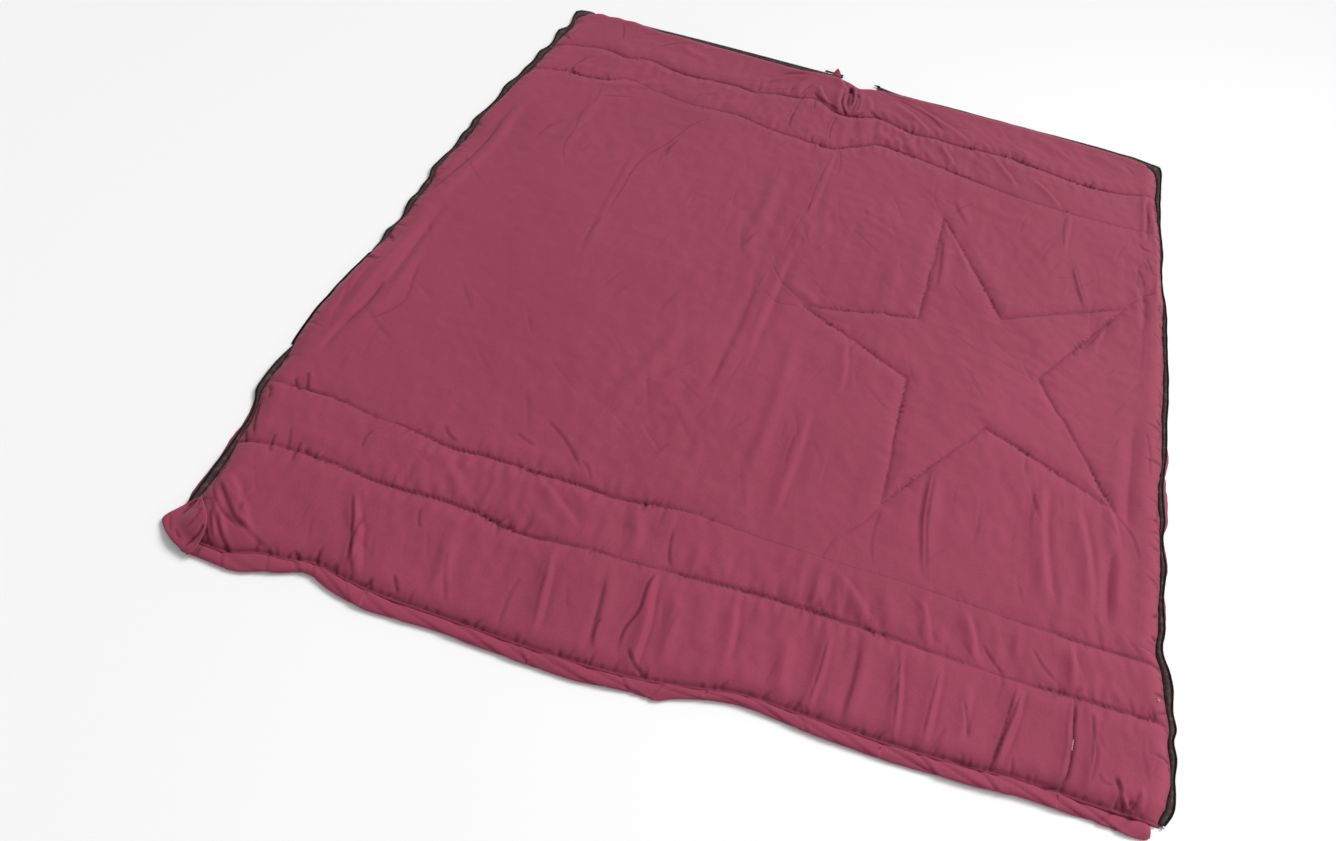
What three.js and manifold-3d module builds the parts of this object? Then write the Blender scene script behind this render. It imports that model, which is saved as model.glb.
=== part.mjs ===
// A children's envelope sleeping bag, zip fully undone, opened flat as a quilted blanket.
// Millimetres, +Z up. X runs across the blanket with the fold at X = 0, +Y points to the foot end.
// The origin is the centre of the footprint, on the floor. The face that looks up is the inner face.
import * as THREE from "three";
import { mergeVertices } from "three/addons/utils/BufferGeometryUtils.js";
import Module from "manifold-3d";

const wasm = await Module();
wasm.setup();

// ---- Driving dimensions ----
const HALF_WIDTH = 700; // fold to side seam
const FOOT_SEAM = 750; // Y of the seam at the foot end
const HEAD_SEAM = -752; // Y where the rolled hem starts
const HEAD_EDGE = -770.5; // Y of the hem's front
const CORNER_RADIUS = 35;
const FOLD_GAP = 0.5; // each half stops this far from the fold line
const FABRIC = 1; // thickness of shell and lining, with their seams
const CLEAR = 0.3; // gap between pieces that touch

const EDGE_TOP = 3.6; // lining's upper face at the zip seam
const VALLEY_TOP = 11; // lining's upper face on a quilting seam
const CENTRE_CROWN = 22; // lining's upper face in the middle of the blanket
const BAND_CROWN = 19; // in the two bands between quilting seams
const END_CROWN = 18; // in the head and foot bands
const HEM_TOP = 10;

const ROWS = { head_outer: -590, head_inner: -497, foot_inner: 500, foot_outer: 605 };
const ROW_FLAT = 1.5; // half width of a seam's flat bottom
const THREAD_WIDTH = 1.4;
const THREAD_HEIGHT = 0.5;

const STAR = { x: 356, y: -13, radius: 345, inner: 0.382, points: 5 };

const TAPE = { inside: 8, outside: 12.5, low: 1.4, high: 2.2 };
const COIL = { from: 9.3, to: 12.3, low: 2.5, high: 4.7 };
const ZIP_END_LEFT = 45; // distance of each half's zip from the fold, at the foot end
const ZIP_END_RIGHT = 35;
const ZIP_HEAD = -750; // Y where both zips end, at the head end

const SLIDER_REST = -62; // X of the slider's middle, beside the retainer box
const SLIDER = { length: 11, inner: 753, outer: 770.5, plate: 0.9, roof: 5.3, top: 6.5 };
const BRIDGE = { length: 8.4, width: 2.2, top: 9.6, bar: 1 };
const PULLER = { length: 26, width: 7, thick: 1.3, arm: 1.2, eye: 6.6 };

const FLAP = { outer: 712.5, inner: 655, head: -768, foot: -700, thick: 1.2 };
const PATCH = { outer: 688, inner: 662, head: -733, foot: -707, thick: 0.6 };
const POCKET = { left: 462, right: 565, head: -733, foot: -614, thick: 0.6, seam: 4 };

// ---- Materials ----
const material = (color, roughness, metalness = 0) =>
  new THREE.MeshStandardMaterial({ color, roughness, metalness });
const lining = material(0x9b475d, 0.75);
const shell = material(0x8d4156, 0.8);
const wadding = material(0xe8e6e0, 1);
const hemFabric = material(0x9b475d, 0.75);
const thread = material(0x8a3a50, 0.6);
const paleThread = material(0xe9dfe0, 0.6);
const tapeWeave = material(0x3e3434, 0.9);
const coilNylon = material(0x2c2526, 0.45);
const zipMetal = material(0x8d8b8a, 0.35, 0.9);
const sliderPaint = material(0x2b2728, 0.35, 0.6);
const hookAndLoop = material(0x4a3b40, 0.95);

// ---- Shape helpers ----
const lerp = (a, b, t) => a + (b - a) * t;

// Straight-line interpolation in a list of [place, value] pairs in rising order.
function along(points, place) {
  const next = points.findIndex(([p]) => p >= place);
  if (next < 0) return points.at(-1)[1];
  if (next === 0) return points[0][1];
  const [p0, v0] = points[next - 1];
  const [p1, v1] = points[next];
  return lerp(v0, v1, (place - p0) / (p1 - p0));
}

// Moves a point of a square corner onto the rounded corner at the foot end.
function rounded(x, y) {
  const u = (Math.abs(x) - (HALF_WIDTH - CORNER_RADIUS)) / CORNER_RADIUS;
  const v = (y - (FOOT_SEAM - CORNER_RADIUS)) / CORNER_RADIUS;
  if (u <= 0 || v <= 0) return [x, y];
  const pull = Math.max(u, v) / Math.hypot(u, v);
  const out = HALF_WIDTH - CORNER_RADIUS + u * pull * CORNER_RADIUS;
  return [Math.sign(x) * out, FOOT_SEAM - CORNER_RADIUS + v * pull * CORNER_RADIUS];
}

// A closed sheet over a grid of X and Y lines, between the heights low(x, y) and high(x, y).
function sheet(xs, ys, low, high) {
  const places = [];
  const index = [];
  const layer = xs.length * ys.length;
  for (const height of [low, high])
    for (const y of ys)
      for (const x of xs) places.push(...rounded(x, y), height(x, y));
  const at = (i, j, top) => (top ? layer : 0) + j * xs.length + i;
  const quad = (a, b, c, d) => index.push(a, b, c, a, c, d);
  for (let j = 0; j + 1 < ys.length; j++)
    for (let i = 0; i + 1 < xs.length; i++) {
      quad(at(i, j, 1), at(i + 1, j, 1), at(i + 1, j + 1, 1), at(i, j + 1, 1));
      index.push(at(i, j, 0), at(i + 1, j + 1, 0), at(i + 1, j, 0));
      index.push(at(i, j, 0), at(i, j + 1, 0), at(i + 1, j + 1, 0));
    }
  const [lastX, lastY] = [xs.length - 1, ys.length - 1];
  for (let i = 0; i < lastX; i++) {
    quad(at(i, 0, 0), at(i + 1, 0, 0), at(i + 1, 0, 1), at(i, 0, 1));
    quad(at(i + 1, lastY, 0), at(i, lastY, 0), at(i, lastY, 1), at(i + 1, lastY, 1));
  }
  for (let j = 0; j < lastY; j++) {
    quad(at(lastX, j, 0), at(lastX, j + 1, 0), at(lastX, j + 1, 1), at(lastX, j, 1));
    quad(at(0, j + 1, 0), at(0, j, 0), at(0, j, 1), at(0, j + 1, 1));
  }
  const geometry = new THREE.BufferGeometry();
  geometry.setAttribute("position", new THREE.Float32BufferAttribute(places, 3));
  geometry.setIndex(index);
  return geometry;
}

// A flat outline in X and Y given a thickness from low to high.
function plate(shape, low, high, curveSegments = 6) {
  const options = { depth: high - low, bevelEnabled: false, curveSegments };
  return new THREE.ExtrudeGeometry(shape, options).translate(0, 0, low);
}

function block(x0, x1, y0, y1, z0, z1) {
  const box = new THREE.BoxGeometry(x1 - x0, y1 - y0, z1 - z0);
  return box.translate((x0 + x1) / 2, (y0 + y1) / 2, (z0 + z1) / 2);
}

function solidOf(geometry) {
  const bare = geometry.clone();
  bare.deleteAttribute("normal");
  bare.deleteAttribute("uv");
  const merged = mergeVertices(bare, 1e-4);
  const vertProperties = new Float32Array(merged.attributes.position.array);
  const triVerts = new Uint32Array(merged.index.array);
  return new wasm.Manifold(new wasm.Mesh({ numProp: 3, vertProperties, triVerts }));
}

function geometryOf(solid) {
  const mesh = solid.getMesh();
  const geometry = new THREE.BufferGeometry();
  const places = new THREE.BufferAttribute(new Float32Array(mesh.vertProperties), 3);
  geometry.setAttribute("position", places);
  geometry.setIndex([...mesh.triVerts]);
  return geometry;
}

const joined = (...geometries) =>
  geometryOf(geometries.map(solidOf).reduce((whole, next) => whole.add(next)));

const cut = (geometry, ...tools) =>
  geometryOf(tools.map(solidOf).reduce((rest, tool) => rest.subtract(tool), solidOf(geometry)));

// The left half is the right half's mirror image, with its faces turned to point out again.
function mirrored(geometry) {
  const flipped = geometry.clone();
  if (!flipped.index) {
    const count = flipped.attributes.position.count;
    flipped.setIndex([...Array(count).keys()]);
  }
  flipped.scale(-1, 1, 1);
  const order = [];
  for (let i = 0; i < flipped.index.count; i += 3)
    order.push(flipped.index.getX(i), flipped.index.getX(i + 2), flipped.index.getX(i + 1));
  flipped.setIndex(order);
  flipped.deleteAttribute("normal");
  return flipped;
}

// ---- The quilted surface ----
// How far the padding has risen towards its crown, by distance from a zip seam.
const EDGE_RISE = [
  [0, 0],
  [9, 0.45],
  [15, 0.62],
  [24, 0.8],
  [35, 0.93],
  [45, 1],
];
const MIDDLE = FOLD_GAP; // innermost X line
const X_LINES = [MIDDLE, ...EDGE_RISE.map(([d]) => HALF_WIDTH - d).reverse()];

// One band between two seams: level across the middle, with rounded shoulders.
function band(from, to, crown, shoulder) {
  const rise = crown - VALLEY_TOP;
  const near = VALLEY_TOP + 0.7 * rise;
  return [
    [from + ROW_FLAT, VALLEY_TOP],
    [from + 0.4 * shoulder, near],
    [from + shoulder, crown],
    [to - shoulder, crown],
    [to - 0.4 * shoulder, near],
    [to - ROW_FLAT, VALLEY_TOP],
  ];
}

const PROFILE = [
  [HEAD_SEAM, HEM_TOP],
  [HEAD_SEAM + 17, END_CROWN],
  ...band(ROWS.head_outer - 30, ROWS.head_outer, END_CROWN, 22).slice(3),
  ...band(ROWS.head_outer, ROWS.head_inner, BAND_CROWN, 28),
  ...band(ROWS.head_inner, ROWS.foot_inner, CENTRE_CROWN, 90),
  ...band(ROWS.foot_inner, ROWS.foot_outer, BAND_CROWN, 28),
  ...band(ROWS.foot_outer, ROWS.foot_outer + 60, END_CROWN, 26).slice(0, 3),
  ...EDGE_RISE.map(([d, rise]) => [FOOT_SEAM - d, lerp(EDGE_TOP, END_CROWN, rise)]).reverse(),
];
const Y_LINES = PROFILE.map(([y]) => y);

function topOf(x, y) {
  const rise = along(EDGE_RISE, HALF_WIDTH - Math.abs(x));
  return lerp(EDGE_TOP, along(PROFILE, y), rise);
}

const linesWithin = (lines, from, to) => [from, ...lines.filter((l) => l > from && l < to), to];

// A strip or patch lying on the inner face, raised a little above it.
function laid(xs, ys, raise, thick) {
  const low = (x, y) => topOf(x, y) + raise;
  return sheet(xs, ys, low, (x, y) => low(x, y) + thick);
}

// ---- Padded halves ----
const liningPanel = () =>
  sheet(X_LINES, Y_LINES, (x, y) => topOf(x, y) - FABRIC, topOf);

// The wadding stops short of the zip seams, so that the zip tape fits between the fabrics.
function waddingBatt() {
  const xs = X_LINES.slice(0, -1);
  const ys = Y_LINES.slice(0, -1);
  return sheet(xs, ys, () => FABRIC + CLEAR, (x, y) => topOf(x, y) - FABRIC - CLEAR);
}

function shellPanel() {
  const outline = new THREE.Shape();
  outline.moveTo(MIDDLE, HEAD_SEAM);
  outline.lineTo(HALF_WIDTH, HEAD_SEAM);
  const [cx, cy] = [HALF_WIDTH - CORNER_RADIUS, FOOT_SEAM - CORNER_RADIUS];
  outline.absarc(cx, cy, CORNER_RADIUS, 0, Math.PI / 2);
  outline.lineTo(MIDDLE, FOOT_SEAM);
  return plate(outline, 0, FABRIC);
}

// The rolled hem is a soft bead along the head end.
function headHem() {
  const depth = HEAD_SEAM - CLEAR - HEAD_EDGE;
  const round = 4.5;
  const profile = new THREE.Shape();
  profile.moveTo(0, 0);
  profile.lineTo(depth - round, 0);
  profile.absarc(depth - round, round, round, -Math.PI / 2, 0);
  profile.absarc(depth - round, HEM_TOP - round, round, 0, Math.PI / 2);
  profile.lineTo(0, HEM_TOP);
  const length = HALF_WIDTH - MIDDLE;
  const bead = new THREE.ExtrudeGeometry(profile, {
    depth: length,
    bevelEnabled: false,
    curveSegments: 4,
  });
  // The profile's own axes become -Y and +Z, and its length runs along X.
  bead.applyMatrix4(
    new THREE.Matrix4().makeBasis(
      new THREE.Vector3(0, -1, 0),
      new THREE.Vector3(0, 0, 1),
      new THREE.Vector3(-1, 0, 0),
    ),
  );
  return bead.translate(HALF_WIDTH, HEAD_SEAM - CLEAR, 0);
}

// ---- Stitching ----
function stitchRow(y) {
  const half = THREAD_WIDTH / 2;
  return laid(X_LINES.slice(0, -1), [y - half, y + half], CLEAR, THREAD_HEIGHT);
}

function starOutline(grow) {
  const corners = [];
  for (let k = 0; k < 2 * STAR.points; k++) {
    const radius = (k % 2 ? STAR.radius * STAR.inner : STAR.radius) + grow;
    const turn = Math.PI + (k * Math.PI) / STAR.points;
    const x = STAR.x + radius * Math.cos(turn);
    corners.push(new THREE.Vector2(x, STAR.y + radius * Math.sin(turn)));
  }
  return corners;
}

function starStitching() {
  const shape = new THREE.Shape(starOutline(THREAD_WIDTH));
  shape.holes.push(new THREE.Path(starOutline(-THREAD_WIDTH)));
  const low = CENTRE_CROWN + CLEAR;
  return plate(shape, low, low + THREAD_HEIGHT);
}

// ---- Inner pocket ----
function pocketPanel() {
  return laid(
    [POCKET.left, POCKET.right],
    linesWithin(Y_LINES, POCKET.head, POCKET.foot),
    CLEAR,
    POCKET.thick,
  );
}

const ON_POCKET = POCKET.thick + 2 * CLEAR;

// Three sides are sewn down and the fourth, towards the side zip, is the pocket's mouth.
function pocketStitching() {
  const [x0, y0] = [POCKET.left + POCKET.seam, POCKET.head + POCKET.seam];
  const [x1, y1] = [POCKET.right - POCKET.seam, POCKET.foot - POCKET.seam];
  const strip = (xs, ys) => laid(xs, ys, ON_POCKET, THREAD_HEIGHT);
  return joined(
    strip([x0, x0 + THREAD_WIDTH], linesWithin(Y_LINES, y0, y1)),
    strip([x0, x1], [y0, y0 + THREAD_WIDTH]),
    strip([x0, x1], [y1 - THREAD_WIDTH, y1]),
  );
}

function barTack() {
  const [x, y] = [POCKET.right - 6, (POCKET.head + POCKET.foot) / 2];
  return laid([x - 1, x + 1], [y - 5, y + 5], ON_POCKET, 0.7);
}

// ---- Zip ----
// An L-shaped ribbon that follows the side seam, the rounded corner and the foot seam.
function zipRibbon(from, to, low, high, foldEnd, curveSegments) {
  const [cx, cy] = [HALF_WIDTH - CORNER_RADIUS, FOOT_SEAM - CORNER_RADIUS];
  const outline = new THREE.Shape();
  outline.moveTo(HALF_WIDTH + to, ZIP_HEAD);
  outline.absarc(cx, cy, CORNER_RADIUS + to, 0, Math.PI / 2);
  outline.lineTo(foldEnd, FOOT_SEAM + to);
  outline.lineTo(foldEnd, FOOT_SEAM + from);
  outline.absarc(cx, cy, CORNER_RADIUS + from, Math.PI / 2, 0, true);
  outline.lineTo(HALF_WIDTH + from, ZIP_HEAD);
  return plate(outline, low, high, curveSegments);
}

const zipTape = (foldEnd) =>
  zipRibbon(-TAPE.inside, TAPE.outside, TAPE.low, TAPE.high, foldEnd, 8);

// The coil stops short of the tape's ends, where the stops, pin and box sit.
const END_ROOM = { fold: 9, head: 5 };
function zipCoil(foldEnd) {
  const chain = zipRibbon(COIL.from, COIL.to, COIL.low, COIL.high, foldEnd + END_ROOM.fold, 8);
  const waste = block(HALF_WIDTH, HALF_WIDTH + 20, ZIP_HEAD - 1, ZIP_HEAD + END_ROOM.head, 0, 9);
  return cut(chain, waste);
}

// A crimped metal stop around the tape's edge at the head end.
function topStop() {
  const [x0, x1] = [HALF_WIDTH + COIL.from, HALF_WIDTH + TAPE.outside - CLEAR];
  return block(x0, x1, ZIP_HEAD + 1, ZIP_HEAD + END_ROOM.head - 0.5, TAPE.high + CLEAR, 5.1);
}

// The pin on the right half's tape slides into the retainer box on the left half's.
function insertionPin() {
  const y = FOOT_SEAM + COIL.from;
  const body = block(ZIP_END_RIGHT, ZIP_END_RIGHT + 8.5, y, y + 3, TAPE.high + CLEAR, 4.9);
  const tip = block(ZIP_END_RIGHT - 5, ZIP_END_RIGHT + 1, y + 0.6, y + 2.4, 2.8, 4.6);
  return joined(body, tip);
}

const BOX = { length: 8, y0: 758.4, y1: 768.4, low: 2.5, high: 5.2, wall: 0.5 };
function retainerBox() {
  const outside = block(-ZIP_END_LEFT - BOX.length, -ZIP_END_LEFT, BOX.y0, BOX.y1, BOX.low, BOX.high);
  const socket = block(
    -ZIP_END_LEFT - BOX.length - 1,
    -ZIP_END_LEFT + 1,
    BOX.y1 - 3,
    BOX.y1 - BOX.wall,
    BOX.low + BOX.wall,
    BOX.high - BOX.wall,
  );
  return cut(outside, socket);
}

// A folded fabric tab that guards the end of the left half's zip.
const TAB = { x: -44, half: 12, tip: 769, low: 5.5, high: 6.5 };
function endTab() {
  const shape = new THREE.Shape([
    new THREE.Vector2(TAB.x - TAB.half, FOOT_SEAM + CLEAR),
    new THREE.Vector2(TAB.x + TAB.half, FOOT_SEAM + CLEAR),
    new THREE.Vector2(TAB.x, TAB.tip),
  ]);
  return plate(shape, TAB.low, TAB.high);
}

// ---- Slider and puller ----
// The slider wraps the left half's coil; its empty channel takes the other coil when it closes.
function sliderBody() {
  const half = SLIDER.length / 2;
  const { inner, outer, plate: floor, roof, top } = SLIDER;
  const nose = 3;
  const outline = new THREE.Shape();
  outline.moveTo(-half, inner + nose);
  outline.lineTo(-half + nose, inner);
  outline.lineTo(half, inner + 1.5);
  outline.lineTo(half, outer - 1.5);
  outline.lineTo(-half + nose, outer);
  outline.lineTo(-half, outer - nose);
  outline.closePath();
  const post = new THREE.CylinderGeometry(0.8, 0.8, roof - floor + 0.4, 10);
  post.rotateX(Math.PI / 2).translate(-half + 2.4, 764, (roof + floor) / 2);
  const lip = 1.2;
  const run = [-half + nose, half - 0.6];
  const arch = cut(
    block(-BRIDGE.length / 2, BRIDGE.length / 2, -BRIDGE.width / 2, BRIDGE.width / 2, top - 0.3, BRIDGE.top),
    block(
      -BRIDGE.length / 2 + 1.2,
      BRIDGE.length / 2 - 1.2,
      -BRIDGE.width,
      BRIDGE.width,
      top - 1,
      BRIDGE.top - BRIDGE.bar,
    ),
  ).translate(0, (inner + outer) / 2, 0);
  return joined(
    plate(outline, 0, floor),
    plate(outline, roof, top),
    post,
    block(...run, inner + 1.4, inner + 1.4 + lip, 3.6, roof + 0.3),
    block(...run, outer - 1.4 - lip, outer - 1.4, 3.6, roof + 0.3),
    arch,
  ).translate(SLIDER_REST, 0, 0);
}

const PULLER_AXIS = (SLIDER.top + BRIDGE.top - BRIDGE.bar) / 2;
function pullerTab() {
  const half = PULLER.thick / 2;
  const [low, high] = [PULLER_AXIS - half, PULLER_AXIS + half];
  const wide = PULLER.width / 2;
  const frame = block(-PULLER.eye, half, -wide, wide, low, high);
  const eye = block(-PULLER.eye + PULLER.arm, -half, -wide + PULLER.arm, wide - PULLER.arm, 0, 20);
  const grip = new THREE.Shape();
  grip.moveTo(-PULLER.eye, -wide + 1);
  grip.lineTo(-PULLER.eye, wide - 1);
  grip.lineTo(-PULLER.length + wide, wide);
  grip.absarc(-PULLER.length + wide, 0, wide, Math.PI / 2, (3 * Math.PI) / 2);
  grip.closePath();
  const tab = joined(cut(frame, eye), plate(grip, low, high), block(-PULLER.eye - 1, -PULLER.eye + 0.5, -2, 2, low, high));
  return tab.translate(SLIDER_REST, (SLIDER.inner + SLIDER.outer) / 2, 0);
}

// ---- Closure flap over the zip's head end, left half ----
const FLAP_LIFT = 2 * PATCH.thick + 3 * CLEAR; // room for the two patches under the flap
const FLAP_LINES = X_LINES.filter((x) => x > FLAP.inner);
const FLAP_EDGE_LIFT = HEM_TOP + 0.5; // the flap passes over the hem and the zip stop
function flapLow(x) {
  const rise = along(EDGE_RISE, HALF_WIDTH - x);
  return Math.max(lerp(EDGE_TOP, END_CROWN, rise) + FLAP_LIFT, FLAP_EDGE_LIFT);
}

function closureFlap() {
  const xs = [FLAP.inner, ...FLAP_LINES, FLAP.outer];
  return sheet(xs, [FLAP.head, FLAP.foot], flapLow, (x) => flapLow(x) + FLAP.thick);
}

const PATCH_LINES = linesWithin(X_LINES, PATCH.inner, PATCH.outer);
function hookPatch() {
  const low = (x) => flapLow(x) - CLEAR - PATCH.thick;
  return sheet(PATCH_LINES, [PATCH.head, PATCH.foot], low, (x) => low(x) + PATCH.thick);
}
const loopPatch = () => laid(PATCH_LINES, [PATCH.head, PATCH.foot], CLEAR, PATCH.thick);

// ---- Assembly ----
const blanket = new THREE.Group();
const rightHalf = new THREE.Group();
const leftHalf = new THREE.Group();
blanket.add(rightHalf, leftHalf);

function add(parent, name, geometry, surface) {
  const mesh = new THREE.Mesh(geometry, surface);
  mesh.name = name;
  parent.add(mesh);
}

// What both halves have: each piece is made once and mirrored for the left half.
const PAIRED = [
  ["lining", liningPanel(), lining],
  ["wadding", waddingBatt(), wadding],
  ["shell", shellPanel(), shell],
  ["head_hem", headHem(), hemFabric],
  ["top_stop", topStop(), zipMetal],
  ...Object.entries(ROWS).map(([row, y]) => ["stitching_" + row, stitchRow(y), thread]),
];
for (const [name, geometry, surface] of PAIRED) {
  add(rightHalf, name + "_right", geometry, surface);
  add(leftHalf, name + "_left", mirrored(geometry), surface);
}

add(rightHalf, "zip_tape_right", zipTape(ZIP_END_RIGHT), tapeWeave);
add(rightHalf, "zip_coil_right", zipCoil(ZIP_END_RIGHT), coilNylon);
add(rightHalf, "insertion_pin", insertionPin(), zipMetal);
add(rightHalf, "star_stitching", starStitching(), thread);
add(rightHalf, "inner_pocket", pocketPanel(), lining);
add(rightHalf, "pocket_stitching", pocketStitching(), thread);
add(rightHalf, "pocket_bar_tack", barTack(), paleThread);

add(leftHalf, "zip_tape_left", mirrored(zipTape(ZIP_END_LEFT)), tapeWeave);
add(leftHalf, "zip_coil_left", mirrored(zipCoil(ZIP_END_LEFT)), coilNylon);
add(leftHalf, "retainer_box", retainerBox(), zipMetal);
add(leftHalf, "zip_end_tab", endTab(), hemFabric);
add(leftHalf, "loop_patch", mirrored(loopPatch()), hookAndLoop);
add(leftHalf, "hook_patch", mirrored(hookPatch()), hookAndLoop);
add(leftHalf, "closure_flap", mirrored(closureFlap()), lining);
add(leftHalf, "zip_slider", sliderBody(), sliderPaint);
add(leftHalf, "zip_puller", pullerTab(), zipMetal);

export default blanket;
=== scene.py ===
import math

import bpy
import numpy as np
from mathutils import Matrix, Vector


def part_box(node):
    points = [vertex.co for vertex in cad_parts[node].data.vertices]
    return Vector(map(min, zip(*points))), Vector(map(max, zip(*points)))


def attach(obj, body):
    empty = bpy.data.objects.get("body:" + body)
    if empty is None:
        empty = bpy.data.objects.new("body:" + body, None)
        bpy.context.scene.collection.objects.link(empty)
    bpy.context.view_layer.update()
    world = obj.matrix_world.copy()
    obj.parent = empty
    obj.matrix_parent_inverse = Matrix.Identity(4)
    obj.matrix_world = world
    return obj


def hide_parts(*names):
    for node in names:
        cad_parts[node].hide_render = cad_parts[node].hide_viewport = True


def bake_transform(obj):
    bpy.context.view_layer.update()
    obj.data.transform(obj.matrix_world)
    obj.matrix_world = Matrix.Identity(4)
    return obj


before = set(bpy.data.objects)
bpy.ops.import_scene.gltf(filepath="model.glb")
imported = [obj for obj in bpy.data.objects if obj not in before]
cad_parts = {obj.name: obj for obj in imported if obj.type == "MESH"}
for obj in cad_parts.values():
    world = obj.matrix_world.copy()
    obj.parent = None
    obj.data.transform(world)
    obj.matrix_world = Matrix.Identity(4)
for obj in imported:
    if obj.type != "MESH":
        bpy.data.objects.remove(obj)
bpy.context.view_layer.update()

# A children's sleeping bag, unzipped and opened flat as a quilted blanket. Metres, +Z up.
# X runs across the blanket with the fold at X = 0, +Y points to the foot end.

MM = 0.001

# ---- Places read from the frame ----
lining_low, lining_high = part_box("lining_right")
HALF_WIDTH = lining_high.x
FOOT_SEAM = lining_high.y
HEAD_SEAM = lining_low.y
CORNER_RADIUS = 0.035
COIL_LOW, COIL_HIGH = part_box("zip_coil_left")
FOOT_COIL_Y = COIL_HIGH.y - 1.5 * MM
COIL_Z = (COIL_LOW.z + COIL_HIGH.z) / 2
FABRIC = 0.5 * MM  # thickness of the shell and of the pocket's cloth


# ---- Small numeric helpers ----
def pairs(*numbers, second=1000):
    """Given pairs as two columns. The first is divided by 1000, the second by its own number."""
    return np.array(numbers, float).reshape(-1, 2) / (1000, second)


def smooth_curve(places, at):
    """A smooth curve through given (place, value) points, in rising order of place."""
    place, value = np.array(places, float).T
    at = np.clip(np.asarray(at, float), place[0], place[-1])
    slope = np.gradient(value, place)
    k = np.clip(np.searchsorted(place, at) - 1, 0, len(place) - 2)
    step = place[k + 1] - place[k]
    t = (at - place[k]) / step
    a, b = value[k], value[k + 1]
    ma, mb = slope[k] * step, slope[k + 1] * step
    t2, t3 = t * t, t * t * t
    return (2 * t3 - 3 * t2 + 1) * a + (t3 - 2 * t2 + t) * ma + (3 * t2 - 2 * t3) * b + (t3 - t2) * mb


def smoothstep(t):
    """0 below 0, 1 above 1, and a smooth rise between."""
    t = np.clip(t, 0, 1)
    return t * t * (3 - 2 * t)


LATTICE = 256  # the noise repeats after this many features
LATTICE_START = 80  # the place of 0 in the lattice, well inside it


def value_noise(x, y, size, seed):
    """Smooth noise from -1 to 1 with features about size across."""
    lattice = np.random.RandomState(seed).uniform(-1, 1, (LATTICE + 1, LATTICE + 1))
    u, v = np.asarray(x) / size + LATTICE_START, np.asarray(y) / size + LATTICE_START
    i, j = np.floor(u).astype(int), np.floor(v).astype(int)
    fu, fv = smoothstep(u - i), smoothstep(v - j)
    i, j = i % LATTICE, j % LATTICE
    low = lattice[i, j] * (1 - fu) + lattice[i + 1, j] * fu
    high = lattice[i, j + 1] * (1 - fu) + lattice[i + 1, j + 1] * fu
    return low * (1 - fv) + high * fv


def wave_noise(s, size, seed):
    """Smooth noise along one line."""
    return value_noise(s, np.zeros_like(s) + 0.37 * size, size, seed)


# ---- Outline of the laid-out fabric: seam lines that wander off the straight ----
# Each is a place along the straight side and where the seam lies there, in millimetres.
LEFT_SEAM = pairs(
    -752, -700, -700, -701, -656, -703, -626, -704, -603, -706, -579, -709, -554, -712, -519, -719,
    -489, -729, -460, -731, -402, -732, -370, -738, -320, -740, -270, -738, -225, -735, -180, -730,
    -146, -725, -111, -719, -70, -719, -43, -716, 0, -718, 60, -716, 98, -723, 133, -722, 161, -720,
    186, -716, 221, -711, 249, -712, 282, -715, 305, -714, 345, -708, 378, -704, 407, -702, 445, -697,
    482, -689, 527, -686, 576, -680, 612, -679, 637, -676, 670, -672, 694, -671, 717, -675, 750, -674,
)
RIGHT_SEAM = pairs(
    -752, 684, -742, 686, -721, 696, -703, 699, -674, 702, -653, 702, -633, 699, -611, 701, -577, 696,
    -542, 694, -512, 688, -495, 683, -470, 684, -441, 687, -408, 686, -373, 689, -333, 690, -292, 688,
    -260, 689, -228, 686.5, -183, 687, -146, 691, -110, 693, -50, 693, 17, 695, 57, 696, 100, 697, 162, 696,
    232, 695.5, 269, 698, 313, 695, 365, 693, 430, 693, 478, 691, 527, 687, 578, 683.5, 622, 681, 670, 683,
    708, 684, 750, 680,
)
NEAR_SEAM = pairs(
    -700, -754, -650, -758, -620, -759, -575, -746, -540, -744, -500, -737, -470, -743, -420, -751,
    -300, -758, -100, -764, -20, -760, 40, -752, 110, -740, 200, -742, 320, -746, 420, -745, 500, -741,
    600, -744, 700, -744,
)
FAR_SEAM = pairs(
    -700, 738, -675, 744, -660, 750, -645, 757, -622, 757, -598, 761, -577, 760, -552, 762, -530, 759,
    -500, 753.5, -482, 750.5, -434, 750, -300, 748, -120, 743, -55, 749, -25, 739, 0, 729, 30, 737, 80, 742,
    200, 743, 400, 740, 600, 731, 640, 727, 680, 718, 700, 716,
)
OUTLINE_REACH = 0.22  # how far into the blanket an outline's wander is felt

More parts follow.
